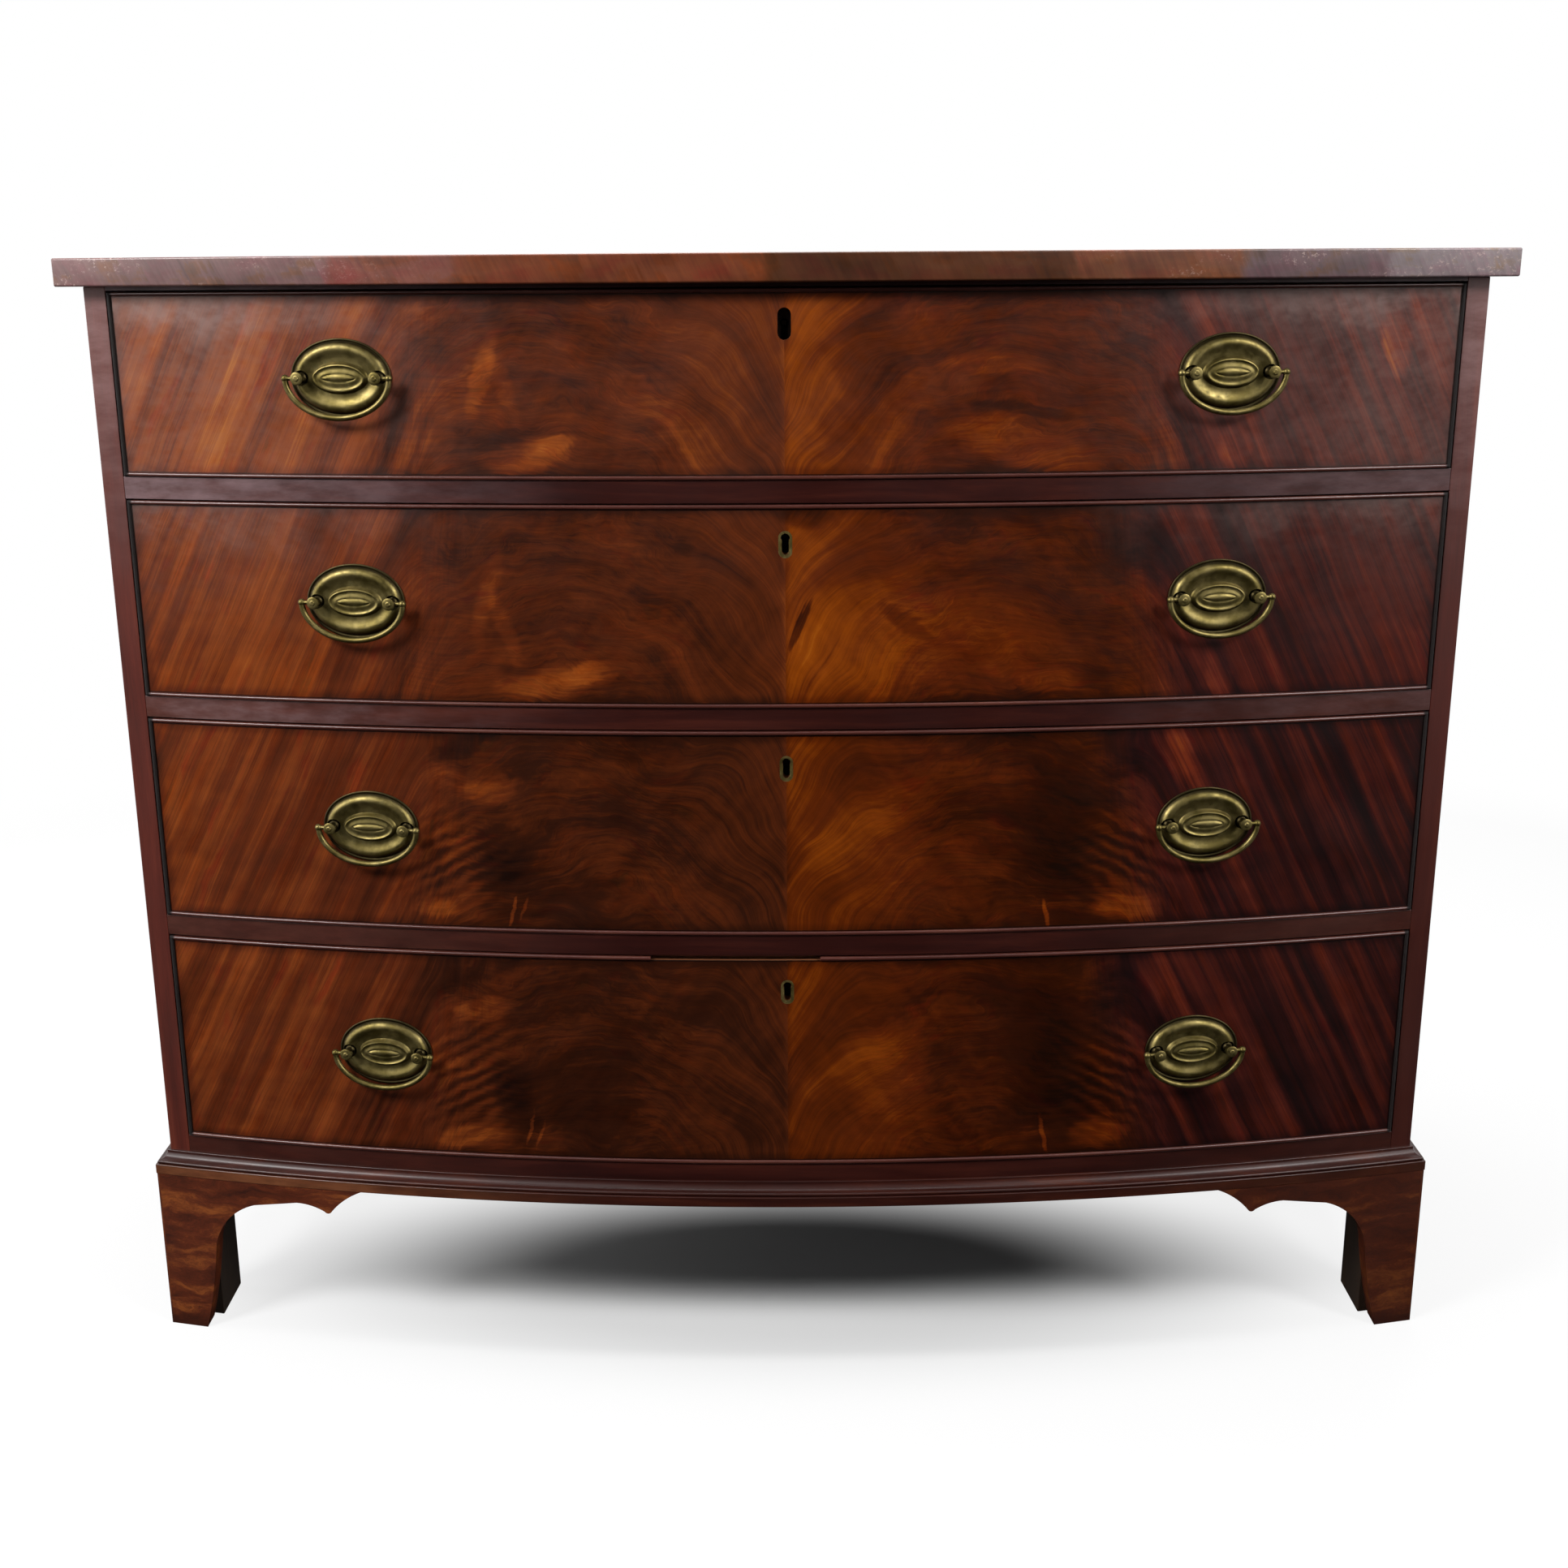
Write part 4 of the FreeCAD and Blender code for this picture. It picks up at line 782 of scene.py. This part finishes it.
def mouldingOutline():
    look = mouldingLook
    low, high, lip, cove, out = (look[name] for name in ("low", "high", "lipOut", "coveOut", "out"))
    top, foot = look["lipEase"], look["footEase"]
    coveHigh = high - look["lipHeight"]
    coveLow = coveHigh - look["coveDrop"]
    beadLow = coveLow - look["beadHeight"]
    points = [(0, low), (0, high), (lip - top, high), (lip, high - top), (lip, coveHigh)]
    for n in range(1, look["coveSteps"] + 1):
        turn = math.pi / 2 * n / look["coveSteps"]
        points.append((lip + (cove - lip) * (1 - math.cos(turn)),
                       coveHigh - look["coveDrop"] * math.sin(turn)))
    for n in range(1, look["beadSteps"]):
        turn = math.pi * n / look["beadSteps"]
        points.append((cove + look["beadSwell"] * math.sin(turn),
                       coveLow - look["beadHeight"] * (1 - math.cos(turn)) / 2))
    return points + [(cove, beadLow), (out - foot, beadLow), (out, beadLow - foot),
                     (out, low + foot), (out - foot, low)]


grow("foot_moulding", mouldingTree(), mouldingOutline(), {}, "moulding_mahogany", "root", "mahogany",
     "base_moulding")
print("moulding run")


# Handles: plates, posts and nuts are turned
turnedSizes = {"Sides": 72, "Stretch": 0.0, "Pair": 0.0, "Spread": 328.0, "Height": 500.0, "Hollow Top": 4.6,
               "Hollow Foot": 0.8, "Room": 0.0, "Room Apart": 29.8, "Room Floor": 1.5}
handleLook = {"postSpread": 29.8, "postRoom": 5.6, "drill": 20.0, "plateHalfWidth": 38.6,
              "plateHalfHeight": 28.6, "nutSeat": 24.3}
# Distance in from the rim, and height over the drawer front
plateOutline = [
    (0, 0), (0, 0.8), (0.35, 1.15), (0.9, 1.25), (1.4, 1.1), (1.8, 0.8), (2.3, 0.8), (2.8, 1.6), (3.7, 2.9),
    (4.9, 4.0), (6.3, 4.65), (7.8, 4.8), (9.2, 4.5), (10.8, 3.8), (12.6, 3.2), (14.6, 2.85), (16.8, 2.8),
    (17.6, 3.6), (18.1, 5.2), (18.7, 6.2), (19.5, 6.4), (20.2, 5.95), (21.0, 5.6), (22.4, 5.75), (23.8, 6.1),
    (25.0, 6.3), (25.8, 6.1), (26.4, 6.4), (27.2, 6.8), (28.2, 6.95), (28.55, 6.95), (28.55, 0)]
# Radius, and height over the drawer front or the nut's seat
postOutline = [
    (0.01, 13.8), (1.3, 13.8), (1.6, 13.4), (2.6, 13.15), (3.9, 13.3), (4.6, 12.9), (4.8, 12.2), (4.5, 11.6),
    (3.4, 11.1), (2.9, 10.2), (2.7, 8.6), (2.65, 7.2), (2.6, 4.6), (2.8, 3.7), (3.5, 3.2), (3.85, 2.9),
    (3.9, 2.2), (3.9, 1.5), (2.1, 1.4), (2.1, -29.0), (0.01, -29.2)]
nutOutline = [(2.2, 0.0), (5.6, 0.0), (6.0, -0.5), (6.0, -3.0), (5.5, -3.5), (2.2, -3.5)]


def turnedTree(name, sunk):
    # Turns an outline round an oval, one or two to a handle, and sets it on both ends of the bow
    bench, inputs = geometryBench(name, turnedSizes)
    mesh, along, radius, height = swept(bench, inputs["Geometry"], inputs["Sides"] + 1)
    turn = along * math.tau
    x = (radius + inputs["Stretch"]) * cosine(turn)
    mesh = moved(bench, mesh, x, -height, radius * sine(turn))
    mesh = bench.form("MergeByDistance", {"Geometry": mesh, "Distance": 0.00001})
    if sunk:        # room round each post
        depth = handleLook["drill"]
        for side in (-1, 1):
            place = (inputs["Room Apart"] * side, -(inputs["Room Floor"] + depth / 2), 0)
            mesh = drilled(bench, mesh, rod(bench, 40, inputs["Room"], depth, place))
    height = bench.split(bench.form("InputPosition", {}))[1] * -1000
    mesh = softened(bench, mesh, 0.75)
    deep = bench.ease(height, inputs["Hollow Top"], inputs["Hollow Foot"])
    sockets = {"Geometry": mesh, "Name": "hollow", "Value": deep}
    mesh = bench.form("StoreNamedAttribute", sockets, {"data_type": "FLOAT", "domain": "POINT"})
    handles = [onBow(bench, put(bench, mesh, (inputs["Pair"] * place, 0, 0)), side, inputs)
               for side in (-1, 1) for place in (-1, 1)]
    return closeTree(bench, joinedUp(bench, handles), inputs)


bailSizes = {"Side": 1.0, "Spread": 328.0, "Height": 500.0, "Grip": 2.2, "Swell": 0.1, "Tip": 2.8}
bailLook = {"halfWidth": 39.8, "drop": 28.6, "stand": 9.5, "pintle": 1.6, "pintleEnd": 25.8, "steps": 56}


def bailTree():
    look = bailLook
    bench, inputs = geometryBench("bail", bailSizes)
    curve = bench.form("MeshToCurve", {"Mesh": inputs["Geometry"]})
    share = bench.form("SplineParameter", {}, {}, "Factor")
    radius = (inputs["Grip"] + sine(share * math.pi) ** 3 * inputs["Swell"]) * mm
    ring = bench.form("CurvePrimitiveCircle", {"Resolution": 20, "Radius": 1.0})
    thick = bench.form("SetCurveRadius", {"Curve": curve, "Radius": radius})
    parts = [bench.form("CurveToMesh", {"Curve": thick, "Profile Curve": ring, "Scale": radius,
                                        "Fill Caps": True})]
    length = look["halfWidth"] - look["pintleEnd"]
    for side in (-1, 1):
        ball = bench.form("MeshUVSphere", {"Segments": 24, "Rings": 14, "Radius": inputs["Tip"] * mm})
        parts.append(put(bench, ball, (side * look["halfWidth"], -look["stand"], 0)))
        place = (side * (look["pintleEnd"] + length / 2), -look["stand"], 0)
        parts.append(rod(bench, 16, look["pintle"], length, place, (0, math.pi / 2, 0)))
    mesh = softened(bench, joinedUp(bench, parts), 0.75)
    return closeTree(bench, onBow(bench, mesh, inputs["Side"], inputs), inputs)


def bailPath():
    # Half an oval between the two tips, in metres
    look = bailLook
    turns = [-math.pi * n / look["steps"] for n in range(look["steps"] + 1)]
    return [(look["halfWidth"] * math.cos(turn) * mm, -look["stand"] * mm, look["drop"] * math.sin(turn) * mm)
            for turn in turns]


plateLine = [(handleLook["plateHalfHeight"] - inset, rise) for inset, rise in plateOutline]
nutLine = [(radius, rise - handleLook["nutSeat"]) for radius, rise in nutOutline]
plateSizes = {"Stretch": handleLook["plateHalfWidth"] - handleLook["plateHalfHeight"],
              "Room": handleLook["postRoom"], "Room Apart": handleLook["postSpread"]}
# On the posts the hollow colour reaches up under the head: tarnish, and a painted shadow ring round the knob
postSizes = {"Pair": handleLook["postSpread"], "Sides": 28, "Hollow Top": 12.0, "Hollow Foot": 10.0}
nutSizes = {"Pair": handleLook["postSpread"], "Sides": 6}
pierced, turned, bails = turnedTree("handlePlates", True), turnedTree("turnedBrass", False), bailTree()
mountParts = {
    "plates": (pierced, plateLine, plateSizes, "aged_brass"),
    "posts": (turned, postOutline, postSizes, "aged_brass"),
    "nuts": (turned, nutLine, nutSizes, "lock_brass"),
}
for number in drawerNumbers:
    body = "drawer_%d" % number
    height = {"Height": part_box(body + "_bail_left")[1].z / mm - bailSizes["Tip"]}
    for label, (tree, line, sizes, finish) in mountParts.items():
        grow("%s_handle_%s" % (body, label), tree, line, {**height, **sizes}, finish, body, "brass",
             body + "_handle_mounts")
    for label, side in sides.items():
        part = "%s_bail_%s" % (body, label)
        grow(part + "_grip", bails, bailPath(), {**height, "Side": side}, "aged_brass", part, "brass", part,
             closed=False)
print("handles hung")


# Case, drawers and locks: the solids' own shapes. Finish and how far the edges are rounded, then the nodes
easedWoods = {
    ("case_mahogany", 0.8): ("side_left", "side_right"),
    ("rail_mahogany", 0.5): ("drawer_rail_1", "drawer_rail_2", "drawer_rail_3", "bottom_rail"),
    ("foot_mahogany", 1.8): ("foot_front_left", "foot_front_right", "foot_back_left", "foot_back_right"),
    ("top_mahogany", 0.0): ("top_board",),
    ("back_pine", 0.8): ("back_boards",),
    ("rail_mahogany", 0.6): ("case_bottom",),
    ("rail_mahogany", 0.4): ("top_frame",),
    ("carcase_pine", 0.5): ("dust_boards",),
    ("carcase_pine", 0.6): ("drawer_runners",),
    ("lining_oak", 0.6): ("drawer_stops",),
    ("stained_pine", 1.0): ("glue_blocks",),
}
drawerWoods = {"front": ("core_mahogany", 0.3), "sides": ("lining_oak", 0.5), "back": ("bottom_oak", 0.5),
               "bottom": ("bottom_oak", 0.5)}


def easedCopy(node, finish, width, shallow=0.0):
    # A welded copy of a solid, flats made whole, edges rounded over. What lies less than shallow behind the
    # middle of the bow is left out
    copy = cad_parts[node].data.copy()
    work = bmesh.new()
    work.from_mesh(copy)
    bmesh.ops.remove_doubles(work, verts=work.verts, dist=2e-6)
    if shallow:
        front = [v for v in work.verts if v.co.y < (bowMiddle + shallow + 0.1) * mm]
        bmesh.ops.delete(work, geom=front, context="VERTS")
    bmesh.ops.dissolve_limit(work, angle_limit=math.radians(0.4), verts=work.verts, edges=work.edges)
    for face in work.faces:
        face.smooth = True
    work.to_mesh(copy)
    work.free()
    copy.materials.clear()
    copy.materials.append(finishes[finish])
    piece = placed(node + "_wood", copy)
    if width:
        bevel = piece.modifiers.new("Ease", "BEVEL")
        bevel.width = width * mm
        bevel.segments = 2
        bevel.limit_method = "ANGLE"
        bevel.angle_limit = math.radians(35)
        keepShape(piece, bevel)
    piece.data.set_sharp_from_angle(angle=math.radians(32))
    if width:       # keeps the flats looking flat beside their rounded edges
        weigh = piece.modifiers.new("Flats", "WEIGHTED_NORMAL")
        weigh.keep_sharp = True
        keepShape(piece, weigh)
    return piece


for (finish, width), nodes in easedWoods.items():
    kind = finish.split("_")[1]
    for node in nodes:
        settle(easedCopy(node, finish, width), "root", kind, node)
for number in drawerNumbers:
    body = "drawer_%d" % number
    for part, (finish, width) in drawerWoods.items():
        node = "%s_%s" % (body, part)
        settle(easedCopy(node, finish, width), body, finish.split("_")[1], node)
    settle(easedCopy(body + "_lock", "lock_iron", 0.0, leafLook["threadDepth"]), body, "iron", body + "_lock")
    bolt = body + "_lock_bolt"
    settle(easedCopy(bolt, "lock_brass", 0.2), bolt, "brass", bolt)
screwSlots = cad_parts["top_screws"].data.materials
for n in range(len(screwSlots)):
    screwSlots[n] = finishes["screw_iron"]
print("case and drawers eased")


# The floor goes from paper to plain white with distance, and outside the shadow's oval (in millimetres)
floorLook = {"half": 9.0, "white": 0.72, "bounce": 0.15, "fadeStart": 0.9, "fadeEnd": 2.0, "mirrorFrom": -900,
             "mirrorTo": -200, "shadeWide": 600.0, "shadeDeep": 250.0, "shadeY": -130.0, "shadeFrom": 0.35,
             "shadeTo": 0.92, "pale": 0.85}


def makeFloor():
    look, half = floorLook, floorLook["half"]
    mesh = bpy.data.meshes.new("floor")
    corners = [(-half, -half, 0), (half, -half, 0), (half, half, 0), (-half, half, 0)]
    mesh.from_pydata(corners, [], [(0, 1, 2, 3)])
    floor = placed("floor", mesh)
    material = bpy.data.materials.new("floor_white")
    material.use_nodes = True
    bench = Bench(material.node_tree)
    bench.tree.nodes.remove(bench.tree.nodes["Principled BSDF"])
    x, y, z = bench.place()
    distance = root(x * x + y * y) / 1000
    camera, glossy = bench.add("ShaderNodeLightPath", {}, {}, ("Is Camera Ray", "Is Glossy Ray"))
    seen = highest(camera, glossy * bench.ease(y, look["mirrorFrom"], look["mirrorTo"]))
    tone = (1 - glossy) * look["bounce"] + camera * (look["white"] - look["bounce"])
    paper = bench.add("ShaderNodeBsdfDiffuse", {}, {"Color": bench.vector(tone, tone, tone)})
    glow = bench.add("ShaderNodeEmission", {}, {"Color": (1, 1, 1, 1), "Strength": 1.0})
    wide, deep = x / look["shadeWide"], (y - look["shadeY"]) / look["shadeDeep"]
    pale = bench.ease(root(wide * wide + deep * deep), look["shadeFrom"], look["shadeTo"])
    pale = pale * look["pale"] * camera
    share = highest(bench.ease(distance, look["fadeStart"], look["fadeEnd"]) * seen, pale)
    mixed = bench.add("ShaderNodeMixShader", {}, {0: share, 1: paper, 2: glow})
    feed(bench.tree.nodes["Material Output"].inputs["Surface"], mixed)
    mesh.materials.append(material)


# Light from all round. Polished surfaces find a dim room before the chest, with a pale screen at each side
roomLook = {"plain": 0.12, "dim": 0.03, "ceiling": 0.25, "screens": 7.0}


def makeWorld():
    look = roomLook
    world = bpy.data.worlds.new("studio")
    bpy.context.scene.world = world
    world.use_nodes = True
    bench = Bench(world.node_tree)
    camera, glossy, through = bench.add("ShaderNodeLightPath", {}, {},
                                        ("Is Camera Ray", "Is Glossy Ray", "Is Transmission Ray"))
    x, y, z = bench.split(bench.add("ShaderNodeTexCoord", {}, {}, "Generated"))
    backdrop = bench.ease(y, -0.1, 0.4)
    screens = bench.ease(abs(x), 0.45, 0.7) * bench.ease(y, 0.0, -0.35) * bench.ease(z, -0.08, 0.14)
    room = look["dim"] + bench.ease(z, 0.0, 0.9) * look["ceiling"]
    room = room + screens * bench.ease(z, 0.75, 0.45) * look["screens"]
    plain = look["plain"]
    strength = lowest(plain + camera + through, 1) + glossy * (highest(backdrop, room) - plain)
    shader = next(node for node in bench.tree.nodes if node.type == "BACKGROUND")
    shader.inputs["Color"].default_value = (1, 1, 1, 1)
    feed(shader.inputs["Strength"], strength)


lampLooks = {       # place, aim, sizes in metres, watts
    "left": ((-1.75, -1.5, 2.1), (-0.1, -0.2, 0.6), 0.7, 0.7, 72.0),
    "right": ((1.75, -1.6, 2.15), (0.1, -0.2, 0.7), 0.6, 0.6, 44.0),
    "low": ((-2.3, 0.1, 0.7), (-0.3, 0.0, 0.1), 0.8, 0.6, 12.0),
    "overhead": ((0.0, 0.4, 2.9), (0.0, -0.1, 0.0), 2.0, 2.0, 120.0),
}


def makeLamps():
    for name, (place, aim, width, height, watts) in lampLooks.items():
        data = bpy.data.lights.new(name, "AREA")
        data.energy = watts
        data.shape = "RECTANGLE"
        data.size, data.size_y = width, height
        lamp = placed(name, data)
        lamp.location = place
        lamp.rotation_euler = (Vector(aim) - Vector(place)).to_track_quat("-Z", "Y").to_euler()


cameraLook = {"lens": 42.46, "sensor": 36, "shiftX": 0.0077, "shiftY": 0.0003,
              "place": (0.0024, -1.6225, 0.8733), "down": 15.4, "turn": -0.568, "roll": 0.416}


def makeCamera():
    look = cameraLook
    data = bpy.data.cameras.new("camera")
    data.lens, data.sensor_width = look["lens"], look["sensor"]
    data.shift_x, data.shift_y = look["shiftX"], look["shiftY"]
    camera = placed("camera", data)
    down, turn, roll = (math.radians(look[name]) for name in ("down", "turn", "roll"))
    ahead = Vector((math.sin(turn) * math.cos(down), math.cos(turn) * math.cos(down), -math.sin(down)))
    right = Vector((math.cos(turn), -math.sin(turn), 0))
    below = ahead.cross(right)
    across = right * math.cos(roll) + below * math.sin(roll)
    up = right * math.sin(roll) - below * math.cos(roll)
    turned = Matrix((across, up, -ahead)).transposed().to_4x4()
    camera.matrix_world = Matrix.Translation(look["place"]) @ turned
    bpy.context.scene.camera = camera


makeFloor()
makeWorld()
makeLamps()
makeCamera()
bpy.context.scene.view_settings.view_transform = "Standard"
print("stage set")
